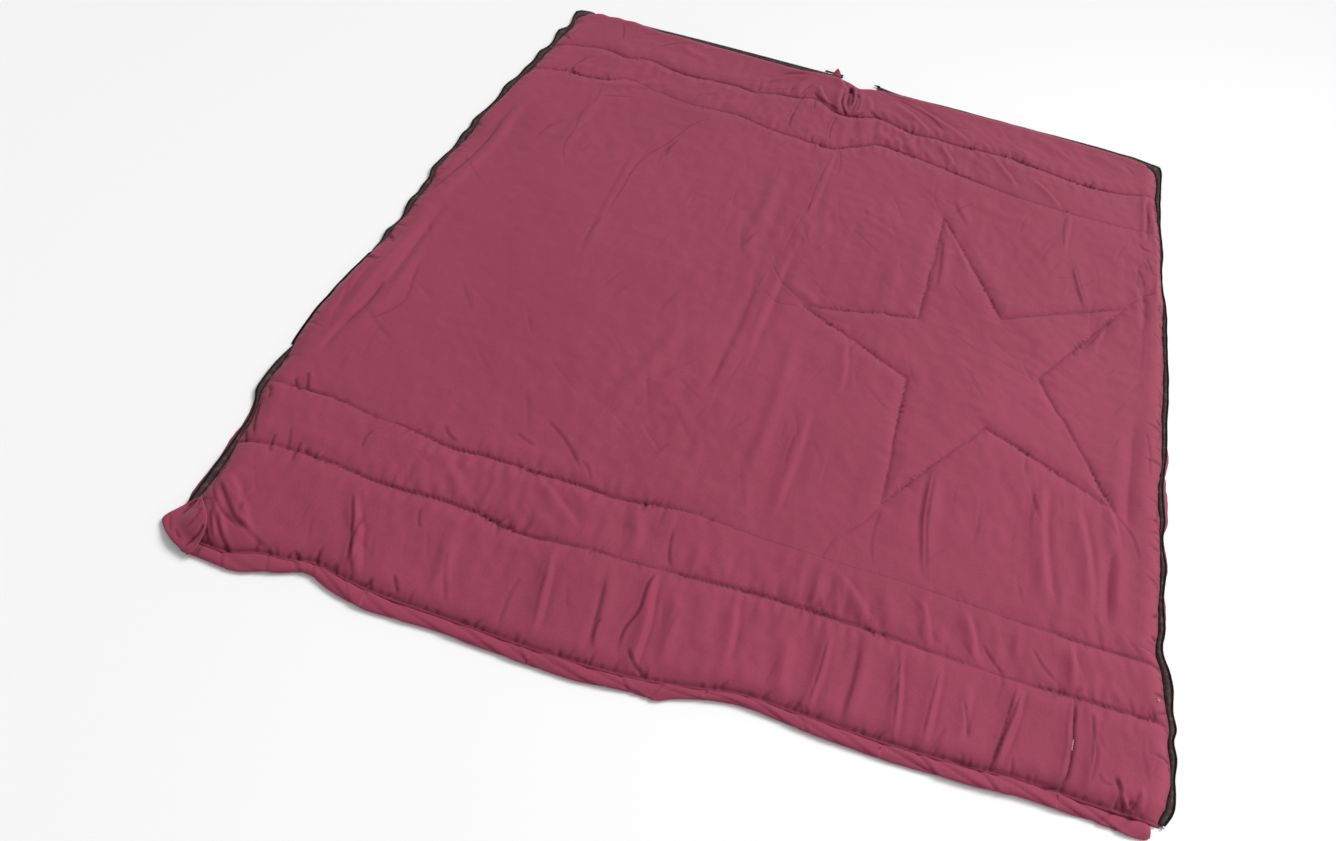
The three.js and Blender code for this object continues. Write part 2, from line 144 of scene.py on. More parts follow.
# Each quilting row as (x, y) points, then how deep it is drawn in along its length, in hundredths.
ROWS = {
    "head_outer": (
        pairs(
            -700, -586, -660, -581, -600, -578, -547, -581, -500, -587, -440, -589, -386, -587, -330, -590,
            -281, -599, -220, -602, -170, -598, -80, -596, 0, -592, 100, -588, 250, -592, 450, -602,
            700, -602,
        ),
        pairs(
            -700, 70, -600, 80, -450, 100, -250, 100, -160, 60, -50, 45, 20, 90, 300, 100, 380, 60, 430, 30,
            520, 70, 620, 90, 700, 80, second=100,
        ),
    ),
    "head_inner": (
        pairs(
            -700, -470, -633, -469, -592, -473, -543, -482, -494, -483, -453, -489, -421, -495, -360, -493,
            -280, -496, -190, -497, -155, -500, -100, -495, -48, -488, 50, -494, 150, -499, 350, -503,
            500, -512, 700, -516,
        ),
        pairs(
            -700, 30, -660, 80, -580, 50, -520, 40, -430, 90, -300, 100, -120, 100, -40, 50, 50, 20,
            400, 20, 520, 45, 600, 80, 700, 100, second=100,
        ),
    ),
    "foot_inner": (
        pairs(
            -700, 472, -667, 482, -641, 493, -605, 500, -559, 500, -522, 509, -480, 530, -445, 520,
            -400, 510, -350, 500, -280, 500, -232, 505, -173, 491, -111, 483, -64, 479, -4, 480, 20, 497,
            43, 509, 71, 527, 124, 526, 177, 519, 219, 511, 300, 492, 420, 470, 550, 465, 700, 470,
        ),
        pairs(
            -700, 30, -620, 50, -540, 70, -460, 35, -350, 30, -200, 60, -50, 80, 20, 90, 120, 100, 240, 80,
            360, 40, 600, 30, 700, 20, second=100,
        ),
    ),
    "foot_outer": (
        pairs(
            -700, 572, -662, 584, -641, 596, -605, 606, -558, 615, -516, 604, -464, 621, -421, 610,
            -380, 603, -325, 605, -258, 610, -207, 605, -168, 618, -130, 624, -88, 636, -31, 607, 12, 606,
            57, 624, 113, 610, 143, 602, 195, 607, 238, 603, 350, 606, 450, 590, 520, 577, 600, 580,
            681, 605,
        ),
        pairs(
            -700, 30, -620, 50, -540, 90, -480, 70, -400, 100, -200, 80, -100, 90, 0, 90, 100, 100,
            450, 100, 580, 80, 660, 70, second=100,
        ),
    ),
}

# The star's tips and inner corners in turn, starting from the tip at the fold.
STAR = pairs(
    33, 2, 240, 47, 248, 345, 388, 102, 620, 222, 468, -20, 610, -262, 387, -166, 245, -375, 243, -106,
)
STAR_SIDES = list(zip(STAR, np.roll(STAR, -1, 0)))
FAR_OFF = 9.0  # a distance beyond anything on the blanket


def row_line(name, x):
    """A quilting row's y over x."""
    return smooth_curve(ROWS[name][0], x)


def row_depth(name, x):
    """How deep a quilting row is drawn in, from 0 to 1."""
    return smooth_curve(ROWS[name][1], x)


def laid_out(across, along):
    """Where a point of the flat cut lies on the floor, from its place on the straight pattern."""
    reach = OUTLINE_REACH
    from_left = smoothstep(1 - (across + HALF_WIDTH) / reach)
    from_right = smoothstep(1 - (HALF_WIDTH - across) / reach)
    from_near = smoothstep(1 - (along - HEAD_SEAM) / reach)
    from_far = smoothstep(1 - (FOOT_SEAM - along) / reach)
    x = across + from_left * (smooth_curve(LEFT_SEAM, along) + HALF_WIDTH)
    x = x + from_right * (smooth_curve(RIGHT_SEAM, along) - HALF_WIDTH)
    y = along + from_near * (smooth_curve(NEAR_SEAM, across) - HEAD_SEAM)
    y = y + from_far * (smooth_curve(FAR_SEAM, across) - FOOT_SEAM)
    return x, y


def round_corner(across, along):
    """Draws the pattern's square foot corners in to round ones."""
    u = (np.abs(across) - (HALF_WIDTH - CORNER_RADIUS)) / CORNER_RADIUS
    v = (along - (FOOT_SEAM - CORNER_RADIUS)) / CORNER_RADIUS
    inside = (u > 0) & (v > 0)
    length = np.where(inside, np.hypot(u, v), 1)
    pull = np.where(inside, np.maximum(u, v) / length, 1)
    new_u, new_v = np.where(inside, u * pull, u), np.where(inside, v * pull, v)
    out = HALF_WIDTH - CORNER_RADIUS + new_u * CORNER_RADIUS
    new_across = np.sign(across) * np.where(inside, out, np.abs(across))
    return new_across, FOOT_SEAM - CORNER_RADIUS + new_v * CORNER_RADIUS


# ---- Padding height ----
EDGE_HEIGHT = 4.0 * MM
CENTRE_LOFT = 16 * MM
# The thread draws the padding in to a sharp cusp in a wide bowl, each with its share of the loft and width.
ROW_CUSP, ROW_CUSP_WIDTH = 0.34, 2.2 * MM
ROW_BOWL, ROW_BOWL_WIDTH = 0.20, 17 * MM
STAR_CUSP, STAR_CUSP_WIDTH = 0.22, 2.4 * MM
STAR_BOWL, STAR_BOWL_WIDTH = 0.12, 15 * MM
# How far in from each edge the padding reaches its full height.
SIDE_RISE, FOOT_RISE, HEAD_RISE = 0.036, 0.030, 0.034


def star_distance(x, y):
    """Distance to the star's seam, and where on it, as the side's number plus the share of its length."""
    best = np.full(x.shape, FAR_OFF)
    where = np.zeros(x.shape)
    for k, ((ax, ay), (bx, by)) in enumerate(STAR_SIDES):
        dx, dy = bx - ax, by - ay
        t = np.clip(((x - ax) * dx + (y - ay) * dy) / (dx * dx + dy * dy), 0, 1)
        d = np.hypot(x - ax - t * dx, y - ay - t * dy)
        nearer = d < best
        best = np.where(nearer, d, best)
        where = np.where(nearer, k + t, where)
    return best, where


def base_height(x, y, across, along):
    """The padded surface without its creases. The seams are drawn in a little unevenly."""
    jag_x = 1.1 * MM * value_noise(x, y, 0.011, 7) + 1.6 * MM * value_noise(x, y, 0.035, 8)
    jag_y = 1.1 * MM * value_noise(x, y, 0.011, 9) + 1.6 * MM * value_noise(x, y, 0.035, 10)
    loft = CENTRE_LOFT + 2.5 * MM * value_noise(x, y, 0.22, 5) + 1.5 * MM * value_noise(x, y, 0.09, 6)
    rows = np.ones(x.shape)
    for name in ROWS:
        away = np.abs(y + 0.7 * jag_y - row_line(name, x))
        depth = row_depth(name, x) * (1 + 0.2 * wave_noise(x, 0.025, 11 + len(name)))
        cusp = np.exp(-away / ROW_CUSP_WIDTH)
        bowl = np.exp(-((away / ROW_BOWL_WIDTH) ** 2))
        rows = rows * (1 - np.clip(depth, 0, 1) * (ROW_CUSP * cusp + ROW_BOWL * bowl))
    away, _ = star_distance(x + jag_x, y + jag_y)
    star = 1 - STAR_CUSP * np.exp(-away / STAR_CUSP_WIDTH)
    star = star - STAR_BOWL * np.exp(-((away / STAR_BOWL_WIDTH) ** 2))
    side = HALF_WIDTH - np.abs(across)
    foot = np.maximum(FOOT_SEAM - along, 0)
    head = np.maximum(along - HEAD_SEAM, 0)

    def rise(distance, width):
        """The pillow shape of an edge, from 0 at the edge to 1 at width."""
        return 1 - (1 - np.clip(distance / width, 0, 1)) ** 2.4

    edge = rise(side, SIDE_RISE) * rise(foot, FOOT_RISE) * (0.25 + 0.75 * rise(head, HEAD_RISE))
    return EDGE_HEIGHT + (loft - EDGE_HEIGHT) * rows * star * edge


# ---- Creases ----
ROW_START, ROW_END = -0.69, 0.675  # between which x the quilting rows are sewn
OPEN_FIELD = 0.48  # about where the inner quilting rows run, as |y|


def add_crease(surface, line, width, height, kind, fade, steep=1):
    """Adds one crease to a grid of (x, y, z), in place.

    line is its run of points. width and height are in metres. fade says over what share of its length it
    rises at the start and sinks at the end. steep is the steep or raised side, 1 for the left of the line
    and -1 for the right."""
    x, y, z = surface
    margin = 4 * width
    low, high = line.min(0) - margin, line.max(0) + margin
    inside = (x > low[0]) & (x < high[0]) & (y > low[1]) & (y < high[1])
    if not inside.any():
        return
    rows, cols = np.where(inside.any(1))[0], np.where(inside.any(0))[0]
    part = (slice(rows[0], rows[-1] + 1), slice(cols[0], cols[-1] + 1))
    px, py = x[part], y[part]
    best = np.full(px.shape, FAR_OFF)
    side = np.zeros(px.shape)
    run = np.zeros(px.shape)
    total = len(line) - 1
    for k in range(total):
        a, d = line[k], line[k + 1] - line[k]
        t = ((px - a[0]) * d[0] + (py - a[1]) * d[1]) / (d @ d)
        t = np.clip(t, 0, 1)
        gap_x, gap_y = px - a[0] - t * d[0], py - a[1] - t * d[1]
        away = np.hypot(gap_x, gap_y)
        nearer = away < best
        best = np.where(nearer, away, best)
        side = np.where(nearer, np.sign(d[0] * gap_y - d[1] * gap_x), side)
        run = np.where(nearer, (k + t) / total, run)
    start = smoothstep(run / fade[0])
    end = smoothstep((1 - run) / fade[1])
    reach = best / width
    if kind == "ridge":
        shape = np.exp(-(reach**2))
    elif kind == "valley":
        shape = -np.exp(-(reach**1.2) * 1.3) + 0.35 * np.exp(-((reach - 1.6) ** 2))
    elif kind == "line":  # a sharp pressed line with a lip on its steep side
        shape = -np.exp(-reach) + np.where(side * steep > 0, 0.38, 0.06) * np.exp(-((reach - 1.7) ** 2))
    else:  # a fold leans over: gentle on one side, steep and undercut on the other
        gentle = np.exp(-(reach**2) * 0.55)
        sharp = np.exp(-((reach / 0.42) ** 2)) - 0.45 * np.exp(-(((reach - 0.85) / 0.42) ** 2))
        shape = np.where(side * steep > 0, sharp, gentle)
    z[part] += height * shape * start * end


def bowed(x0, y0, x1, y1, bow, steps=7):
    """A gently curved run of points, bowed sideways by bow at its middle."""
    t = np.linspace(0, 1, steps)
    nx, ny = -(y1 - y0), x1 - x0
    length = math.hypot(nx, ny)
    off = 4 * bow * t * (1 - t) / length
    return np.stack([x0 + (x1 - x0) * t + nx * off, y0 + (y1 - y0) * t + ny * off], 1)


def curve_through(line, t):
    """Points on a smooth curve through the points of line, where t counts from 0 at the first."""
    k = np.arange(len(line))
    return np.stack([smooth_curve(np.stack([k, v], 1), t) for v in line.T], 1)


def wound(line):
    """A smooth winding run through given places, with four times as many points."""
    return curve_through(line, np.linspace(0, len(line) - 1, 4 * len(line)))


FOLD_WIDER, FOLD_LOWER = 1.25, 0.62  # factors on the widths and heights of all folds
# Folds that stand out: kind, x and y of both ends, bow, width, height, all in millimetres, steep side.
FOLDS = [
    # long soft folds down the blanket
    ("fold", -386, 310, -372, -80, -6, 7, 1, -1), ("ridge", -520, 460, -535, 260, 6, 11, 2, 1),
    ("fold", -5, 490, -16, 220, 4, 6, 0.6, 1), ("fold", -16, 180, -30, -220, -6, 8, 1.2, 1),
    ("ridge", -105, 420, -110, 50, 10, 13, 1.6, 1), ("fold", -60, 100, -72, -280, 10, 10, 1.2, -1),
    ("ridge", 35, -50, 30, -420, 8, 10, 2, 1), ("fold", 95, -220, 85, -460, 6, 8, 1.8, 1),
    ("ridge", -155, -100, -225, -360, 12, 13, 2, 1), ("fold", 320, -270, 335, -490, -12, 8, 2.4, -1),
    ("fold", 495, -240, 520, -480, -10, 11, 2.6, 1), ("fold", 545, -270, 575, -470, 10, 10, 2.8, 1),
    ("ridge", 600, -280, 615, -470, 8, 10, 2.4, 1), ("fold", 498, 470, 488, 330, 4, 6, 2, 1),
    ("fold", 515, 300, 545, 190, -4, 6, 2, -1), ("fold", 585, 200, 560, 80, 4, 6, 1.8, 1),
    ("ridge", 430, 400, 300, 420, 10, 12, 1.6, 1), ("ridge", 170, 220, 160, -20, 8, 14, 1.8, 1),
    # diagonal drag lines
    ("fold", -570, 585, -660, 440, 8, 8, 1.6, -1), ("ridge", -400, 560, -540, 480, 10, 10, 2.2, 1),
    ("fold", -200, 655, -95, 720, 6, 7, 2.6, 1), ("fold", -140, 640, -95, 735, 4, 7, 2.6, 1),
    ("ridge", -180, 700, -60, 738, 4, 9, 2.4, 1), ("fold", 120, 705, 275, 615, 6, 8, 1.8, 1),
    ("fold", 65, 700, 180, 618, 8, 8, 1.8, 1), ("fold", 415, 545, 480, 470, 4, 6, 2.6, 1),
    ("fold", 330, 580, 385, 495, 4, 6, 1.8, 1), ("fold", 205, 585, 245, 525, 3, 6, 1.8, 1),
    ("ridge", -320, 665, -430, 715, 6, 10, 2, 1), ("ridge", 360, 715, 500, 640, 10, 12, 1.8, 1),
    ("ridge", 520, 700, 620, 650, 6, 10, 1.8, 1),
    # the pucker at the middle of the foot end
    ("valley", -16, 712, -8, 615, -4, 3.8, 10, 1), ("fold", -34, 705, -24, 610, -6, 6, 4, 1),
    ("fold", 6, 700, 4, 612, 4, 5, 3.4, -1), ("fold", -60, 735, -30, 690, 4, 7, 3, 1),
    ("fold", -86, 690, -50, 625, -6, 6, 3, 1), ("fold", 22, 690, 40, 640, 4, 7, 2, 1),
    # head band: slanted pleats between the outer row and the hem
    ("fold", -695, -665, -625, -748, 4, 6, 2, 1), ("fold", -690, -640, -585, -745, 6, 7, 1.8, 1),
    ("fold", -670, -700, -640, -752, 2, 5, 3, 1), ("fold", -512, -610, -432, -744, 6, 7, 3, 1),
    ("fold", -470, -655, -455, -735, 3, 6, 2.6, 1), ("ridge", -345, -640, -330, -735, 4, 8, 1.8, 1),
    ("fold", -200, -618, -178, -750, 5, 7, 2, 1), ("fold", -112, -622, -96, -750, 4, 7, 1.9, -1),
    ("fold", -50, -605, -36, -755, 6, 7, 4.6, 1), ("ridge", -10, -620, 0, -740, 3, 7, 2, 1),
    ("fold", 72, -610, 82, -690, 3, 7, 2, 1), ("ridge", 150, -625, 165, -735, 4, 9, 1.8, 1),
    ("fold", 212, -615, 205, -735, 4, 7, 2.6, 1), ("fold", 262, -612, 256, -738, 4, 7, 2.6, -1),
    ("fold", 312, -610, 322, -740, 5, 7, 2.8, 1), ("fold", 372, -612, 362, -740, 4, 7, 2.8, 1),
    ("fold", 488, -610, 458, -738, 7, 7, 4.2, 1), ("fold", 418, -625, 408, -715, 4, 7, 2, 1),
    ("fold", 592, -640, 585, -730, 3, 5, 2.4, 1), ("fold", 622, -712, 672, -758, -4, 6, 4, 1),
    ("fold", 612, -735, 668, -762, -2, 5, 3, 1), ("fold", 658, -700, 655, -742, 2, 5, 2.4, 1),
    # band between the two head rows
    ("fold", -270, -505, -170, -580, 3, 7, 1, 1), ("ridge", -430, -505, -350, -580, 2, 8, 1, 1),
    ("fold", 200, -515, 270, -585, 3, 7, 1.2, 1), ("fold", 330, -520, 352, -588, 3, 6, 1.8, 1),
    ("fold", 395, -520, 420, -590, 4, 7, 2.4, 1), ("ridge", -110, -515, -90, -580, 4, 8, 1.6, 1),
    ("fold", 555, -530, 560, -590, 3, 6, 1.8, 1),
    # where the star pulls on the cloth
    ("ridge", 262, 335, 320, 190, -4, 6, 2.2, 1), ("fold", 252, 300, 262, 120, 6, 6, 2, -1),
    ("fold", 300, 340, 262, 420, 4, 7, 1.6, 1), ("ridge", 440, 30, 560, 140, 8, 8, 1.8, 1),
    ("fold", 590, -230, 620, -330, 4, 6, 1.8, 1), ("ridge", 500, -80, 560, -190, 6, 9, 1.6, 1),
    ("fold", 330, -250, 390, -180, 4, 6, 1.8, 1), ("ridge", -20, 50, 60, 10, 4, 8, 1.8, 1),
    ("ridge", 60, -60, 130, -30, 4, 7, 1.6, 1), ("fold", 120, -50, 135, -190, 6, 7, 1.4, 1),
]


# Broad dips and rises with a winding run: kind, width, height, then x and y of its places, in millimetres.
BANDS = [
    # along the left side
    ("valley", 9, 3, -696, -20, -699, -117, -705, -200, -705, -269, -702, -330),
    ("ridge", 8, 1.8, -678, 20, -680, -117, -684, -200, -688, -300, -694, -360),
    ("valley", 7, 2.4, -661, 20, -659, -120, -658, -196, -664, -220),
    ("valley", 6, 3, -662, -205, -665, -277, -678, -345, -684, -400),
    ("ridge", 10, 1.6, -640, -80, -640, -220, -650, -300, -664, -380),
    ("ridge", 10, 2.2, -645, 400, -654, 300, -656, 200, -670, 90, -690, 0),
    ("ridge", 7, 1.6, -672, 480, -690, 400, -700, 300, -702, 230),
    # along the right side
    ("valley", 13, 2.2, 640, -30, 636, -140, 632, -220, 634, -310),
    ("valley", 11, 2, 612, -320, 604, -400, 606, -480),
    ("valley", 6, 2.6, 664, 600, 661, 540, 662, 480, 656, 430),
    ("ridge", 6, 1.6, 676, 560, 677, 480, 680, 380, 678, 250, 682, 100),
    ("valley", 8, 1.6, 650, 300, 655, 230, 652, 160),
]


# Sharp lines pressed into the cloth: width and depth in millimetres, raised side, then x and y of its places.
LINES_PRESSED = [
    # the pucker at the middle of the foot end
    (2.6, 6.5, 1, -17, 707, -14, 697, -8, 680, -5, 655, -4, 625), (3.2, 5, 1, -17, 708, -16, 700, -14, 690),
    (2.2, 3, 1, -18, 690, -27, 664, -24, 635, -13, 612, -2, 604),
    (2.2, 2.8, -1, -4, 690, 9, 668, 12, 640, 8, 612),
    (2.2, 2.6, 1, -40, 612, -22, 602, 4, 604, 18, 616, 30, 630), (2, 2.2, 1, -20, 628, -10, 608, 6, 594),
    (2, 1.8, 1, 12, 612, 20, 600), (2.2, 2.6, 1, -94, 660, -76, 640, -46, 623, -22, 603),
    (2.2, 2.4, 1, 34, 640, 55, 628, 75, 617, 94, 608), (2.2, 2, -1, -22, 598, -30, 560, -28, 520, -24, 494),
    (2, 1.8, 1, -28, 586, -36, 565, -40, 540), (2.2, 1.1, 1, -4, 480, -14, 380, -18, 290, -15, 234),
    (2, 1, 1, 4, 480, 16, 420, 14, 368), (2.6, 0.8, -1, -6, 360, -14, 300, -30, 180, -34, 100),
    (2.2, 1.6, 1, 53, 718, 95, 716, 128, 711), (2.4, 1.8, 1, 82, 711, 130, 695, 178, 667),
    (2.4, 1.6, 1, 127, 703, 175, 672, 215, 628), (2.4, 1.8, -1, -180, 693, -134, 712, -84, 715),
    (2.2, 1.6, 1, -120, 632, -112, 662, -100, 686), (2.2, 2, 1, -108, 497, -120, 530, -113, 574),
    # the corner under the closure flap
    (2.8, 2.6, 1, -692, -655, -662, -684, -632, -710, -604, -722),
    (2.6, 3, 1, -690, -680, -655, -718, -634, -740, -614, -758),
    (2.4, 2.6, 1, -672, -704, -655, -730, -638, -754), (2.2, 2.4, 1, -660, -735, -650, -748, -640, -757),
    (2.6, 1.8, 1, -632, -708, -600, -724, -565, -740), (2.2, 3, 1, -624, -749, -610, -760),
    (2.2, 2.6, 1, -568, -736, -556, -748), (2.4, 3.2, 1, -534, -728, -514, -743),
    (2.2, 2.6, 1, -502, -728, -490, -741), (2.2, 2.2, 1, -470, -728, -462, -745),
    # slanted pleats above the hem
    (2.6, 2.8, 1, -508, -612, -488, -650, -462, -705, -438, -745),
    (2.4, 2, -1, -474, -640, -468, -690, -452, -740), (2.6, 1, 1, -200, -622, -192, -680, -180, -745),
    (2.6, 0.9, -1, -112, -625, -106, -690, -98, -745),
    (2.4, 3, 1, -46, -598, -53, -625, -52, -665, -62, -700, -60, -745),
    (2.4, 2.8, 1, -50, -722, -34, -742, -10, -756), (2.4, 1.8, 1, -98, -690, -100, -715, -92, -745),
    (2.4, 1.6, 1, 212, -620, 210, -680, 204, -735), (2.4, 1.6, 1, 314, -612, 320, -680, 324, -740),
    (2.4, 1.6, 1, 374, -612, 366, -680, 362, -735),
    (2.6, 2.6, 1, 490, -608, 480, -650, 466, -700, 458, -738),
    (2.2, 2.2, 1, 593, -640, 596, -680, 588, -728),
    (3.2, 4.4, -1, 564, -600, 564, -625, 562, -650, 563, -674, 560, -700, 556, -722, 546, -738),
    (2.8, 3.4, 1, 548, -736, 523, -744, 481, -744, 458, -747, 420, -742, 390, -737),
    (2.4, 2.2, 1, 480, -612, 470, -680, 462, -714, 457, -742),
    # the corner at the head end of the right side
    (2.6, 4, 1, 622, -698, 628, -713, 634, -735, 650, -747), (2.4, 3, -1, 644, -722, 643, -738, 652, -748),
    (2.4, 3.6, 1, 646, -738, 662, -750, 676, -758), (2, 1.6, 1, 655, -705, 650, -728, 640, -744),
    (2.4, 1.8, 1, 588, -612, 591, -650, 588, -707), (2.2, 1.4, 1, 598, -700, 606, -712, 622, -712),
    # short drags that cross the head rows on the right
    (2.8, 1.2, 1, 392, -700, 384, -722, 373, -744), (2.4, 2, -1, 411, -655, 420, -685, 423, -712),
    (2.2, 1.8, 1, 426, -560, 444, -585, 462, -600), (2.4, 1.6, 1, 496, -545, 515, -570, 540, -592),
    # long lines in the open field
    (3, 1.6, 1, -300, -395, -250, -430, -205, -478), (2.4, 1.4, 1, -220, -452, -200, -468, -190, -488),
    (2.6, 1.8, -1, 318, -280, 318, -380, 334, -490), (2.4, 0.9, 1, 246, -378, 242, -440, 250, -490),
    (2.2, 1.2, 1, 492, 460, 486, 400, 492, 335), (2.2, 1.4, -1, 518, 300, 530, 250, 546, 195),
    (2.4, 1.2, 1, 600, 205, 580, 150, 560, 110, 530, 60), (2.6, 1.2, 1, 30, 10, 0, 30, -30, 60, -60, 110),
    (2.4, 1, 1, 28, -2, -10, -10, -50, 10), (2.2, 1.3, 1, 255, 350, 275, 385, 310, 430),
    (2.2, 0.9, 1, 240, 352, 220, 400, 218, 450), (2.2, 1.3, 1, 612, -265, 640, -300, 655, -350),
    (2.2, 1, 1, 244, -380, 225, -420, 190, -460), (2, 1.4, 1, 620, 226, 640, 250, 662, 262),
    # the left half of the open field and its foot corner
    (2.4, 1.5, 1, -264, 477, -308, 426, -335, 345, -368, 274, -374, 164, -376, 51),
    (2.2, 1, -1, -338, 268, -326, 330, -315, 393),
    (2.2, 1.1, 1, -514, 430, -530, 370, -523, 314, -522, 248, -490, 180),
    (2.4, 2.2, 1, -583, 581, -598, 545, -606, 520, -600, 504, -586, 501),
    (2.2, 1.6, 1, -559, 494, -538, 510, -526, 535), (2.2, 1.2, 1, -526, 470, -520, 440, -519, 407),
    (2.2, 1.2, 1, -513, 444, -479, 460, -445, 470), (2.4, 1.8, 1, -565, 730, -552, 695, -544, 661),
    (2.4, 1.6, -1, -469, 664, -446, 690, -423, 710, -380, 722),
    (2.6, 2, 1, -674, 645, -660, 622, -645, 606), (2.2, 1.6, 1, -207, 604, -210, 628, -213, 651),
    (2.2, 1.6, 1, -116, 503, -118, 560, -113, 620, -106, 668), (2.2, 2, 1, -77, 588, -83, 612, -83, 636),
    (
        3.2, 1.8, 1, -655, 345, -665, 295, -666, 251, -668, 213, -673, 165, -681, 116, -687, 83,
        -700, 27, -708, -6,
    ),
    (2.4, 1.2, 1, -636, -125, -622, -195, -612, -245, -633, -291, -666, -320),
    (2.8, 1.8, 1, -663, -205, -666, -277, -680, -341),
    # the left side between the two head rows
    (2.8, 3.4, 1, -720, -505, -704, -545, -684, -578), (2.4, 3, 1, -707, -563, -698, -578, -690, -590),
    (2.6, 2.6, -1, -724, -478, -712, -488, -704, -510), (2.4, 2.6, 1, -678, -438, -670, -452, -662, -472),
    (2.2, 2, 1, -690, -455, -680, -468, -668, -476), (2.2, 2.4, 1, -658, -560, -656, -580, -648, -596),
    (2.2, 1.6, 1, -646, -540, -636, -562, -630, -582), (2.2, 2.4, 1, -618, -560, -616, -580, -612, -602),
    (2.2, 1.8, 1, -532, -505, -536, -525, -530, -545), (2.6, 2.4, 1, -698, -626, -697, -648, -690, -668),
    (2.8, 2.6, -1, -698, -661, -680, -684, -655, -705, -611, -726),
    # the head band, left of the middle
    (2.4, 1.6, 1, -438, -459, -425, -475, -403, -486), (2.4, 1.4, 1, -331, -438, -312, -446, -292, -453),
    (2.2, 1.8, 1, -405, -610, -398, -628, -388, -645), (2.6, 1.2, 1, -339, -660, -322, -705, -300, -748),
    (2.4, 2.4, 1, -390, -719, -380, -733, -370, -746), (2.6, 1.2, 1, -226, -665, -228, -710, -224, -755),
    (2.4, 2, 1, -47, -520, -42, -560, -30, -592),
    # the right side
    (2.6, 2.2, 1, 664, 587, 659, 550, 662, 512, 660, 480, 659, 454),
    (2.4, 2, 1, 644, 425, 653, 410, 671, 405), (2.4, 1.6, -1, 656, 384, 664, 360, 671, 333),
    (2.6, 2.4, 1, 683, 600, 680, 560, 687, 525), (2.2, 1.4, 1, 639, 345, 650, 320, 655, 290),
    (2.2, 1.6, 1, 678, 290, 664, 276, 650, 272), (2.4, 1.2, 1, 660, -70, 668, -120, 668, -190),
    (2.2, 1.8, 1, 690, 265, 684, 240, 686, 210),
]


def pucker_seam(surface, places, directions, depths, random, chance, reach, height):
    """Short creases that cross a seam, in clusters, closer and deeper where the seam is drawn in more."""
    clusters = np.clip(0.55 + 1.5 * value_noise(places[:, 0], places[:, 1], 0.045, 19), 0.12, 1.6)
    for (px, py), (tx, ty), depth in zip(places, directions, depths * clusters):
        if random.uniform() > depth * chance:
            continue
        for side in (-1, 1):
            if random.uniform() < 0.25:
                continue
            tilt = random.normal(0, 0.45)
            nx, ny = -ty * side, tx * side
            dx = nx * math.cos(tilt) - ny * math.sin(tilt)
            dy = nx * math.sin(tilt) + ny * math.cos(tilt)
            length = reach * (0.35 + 0.9 * random.uniform() ** 1.5)
            width = random.uniform(1.9, 3.6) * MM
            tall = height * random.uniform(0.35, 1.0) * (0.4 + 0.6 * depth)
            line = bowed(px, py, px + dx * length, py + dy * length, random.uniform(-3, 3) * MM, 5)
            kind = "line" if random.uniform() < 0.7 else "fold"
            add_crease(surface, line, width, tall, kind, fade=(0.12, 0.85), steep=random.choice([-1, 1]))


def soft_folds(surface):
    """Adds the folds and bands that stand out."""
    for kind, *ends_and_bow, width, height, steep in FOLDS:
        fade = (0.3, 0.3) if kind != "valley" else (0.2, 0.35)
        line = bowed(*(n / 1000 for n in ends_and_bow))
        add_crease(surface, line, FOLD_WIDER * width * MM, FOLD_LOWER * height * MM, kind, fade, steep)
    for kind, width, height, *places in BANDS:
        add_crease(surface, wound(pairs(*places)), width * MM, height * MM, kind, (0.3, 0.3))


def gathers(surface, seed, reach, height):
    """Puckers along every quilting row and round the star."""
    random = np.random.RandomState(seed)
    step = 8 * MM
    for name in ROWS:
        s = np.arange(ROW_START, ROW_END + 5 * MM, step)
        y = row_line(name, s)
        tangents = np.stack([np.ones_like(s), np.gradient(y, s)], 1)
        tangents /= np.linalg.norm(tangents, axis=1)[:, None]
        pucker_seam(surface, np.stack([s, y], 1), tangents, row_depth(name, s), random, 0.75, reach, height)
    for a, b in STAR_SIDES:
        length = np.linalg.norm(b - a)
        t = np.arange(0.02, length - 0.01, step) / length
        places = a + (b - a) * t[:, None]
        tangents = np.repeat([(b - a) / length], len(t), 0)
        depths = np.full(len(t), 0.75)
        pucker_seam(surface, places, tangents, depths, random, 1.1, 0.5 * reach, 0.8 * height)


TOOTH_PITCH, TOOTH_REACH = 8.5 * MM, 6 * MM


def seam_teeth(x, y, signed_away, along, seed):
    """From 0 to 1: small slanted ticks in a row where a line of stitches draws the cloth up."""
    phase = (along + signed_away) / TOOTH_PITCH + 0.9 * value_noise(x, y, 0.03, seed)
    patches = np.clip(0.6 + 0.9 * value_noise(x, y, 0.05, seed + 1), 0, 1)
    ticks = patches * (0.5 + 0.5 * np.cos(2 * np.pi * phase)) ** 2
    return ticks * np.exp(-((signed_away / TOOTH_REACH) ** 2))


def all_teeth(x, y):
    """The ticks of every quilting row and of the star."""
    total = np.zeros(x.shape)
    for k, name in enumerate(ROWS):
        total += row_depth(name, x) * seam_teeth(x, y, y - row_line(name, x), x, 81 + 2 * k)
    for k, ((ax, ay), (bx, by)) in enumerate(STAR_SIDES):
        length = math.hypot(bx - ax, by - ay)
        ux, uy = (bx - ax) / length, (by - ay) / length
        along = (x - ax) * ux + (y - ay) * uy
        ends = smoothstep(along / 0.012) * smoothstep((length - along) / 0.012)
        total += 0.8 * ends * seam_teeth(x, y, (y - ay) * ux - (x - ax) * uy, along, 91 + 2 * k)
    return np.clip(total, 0, 1)


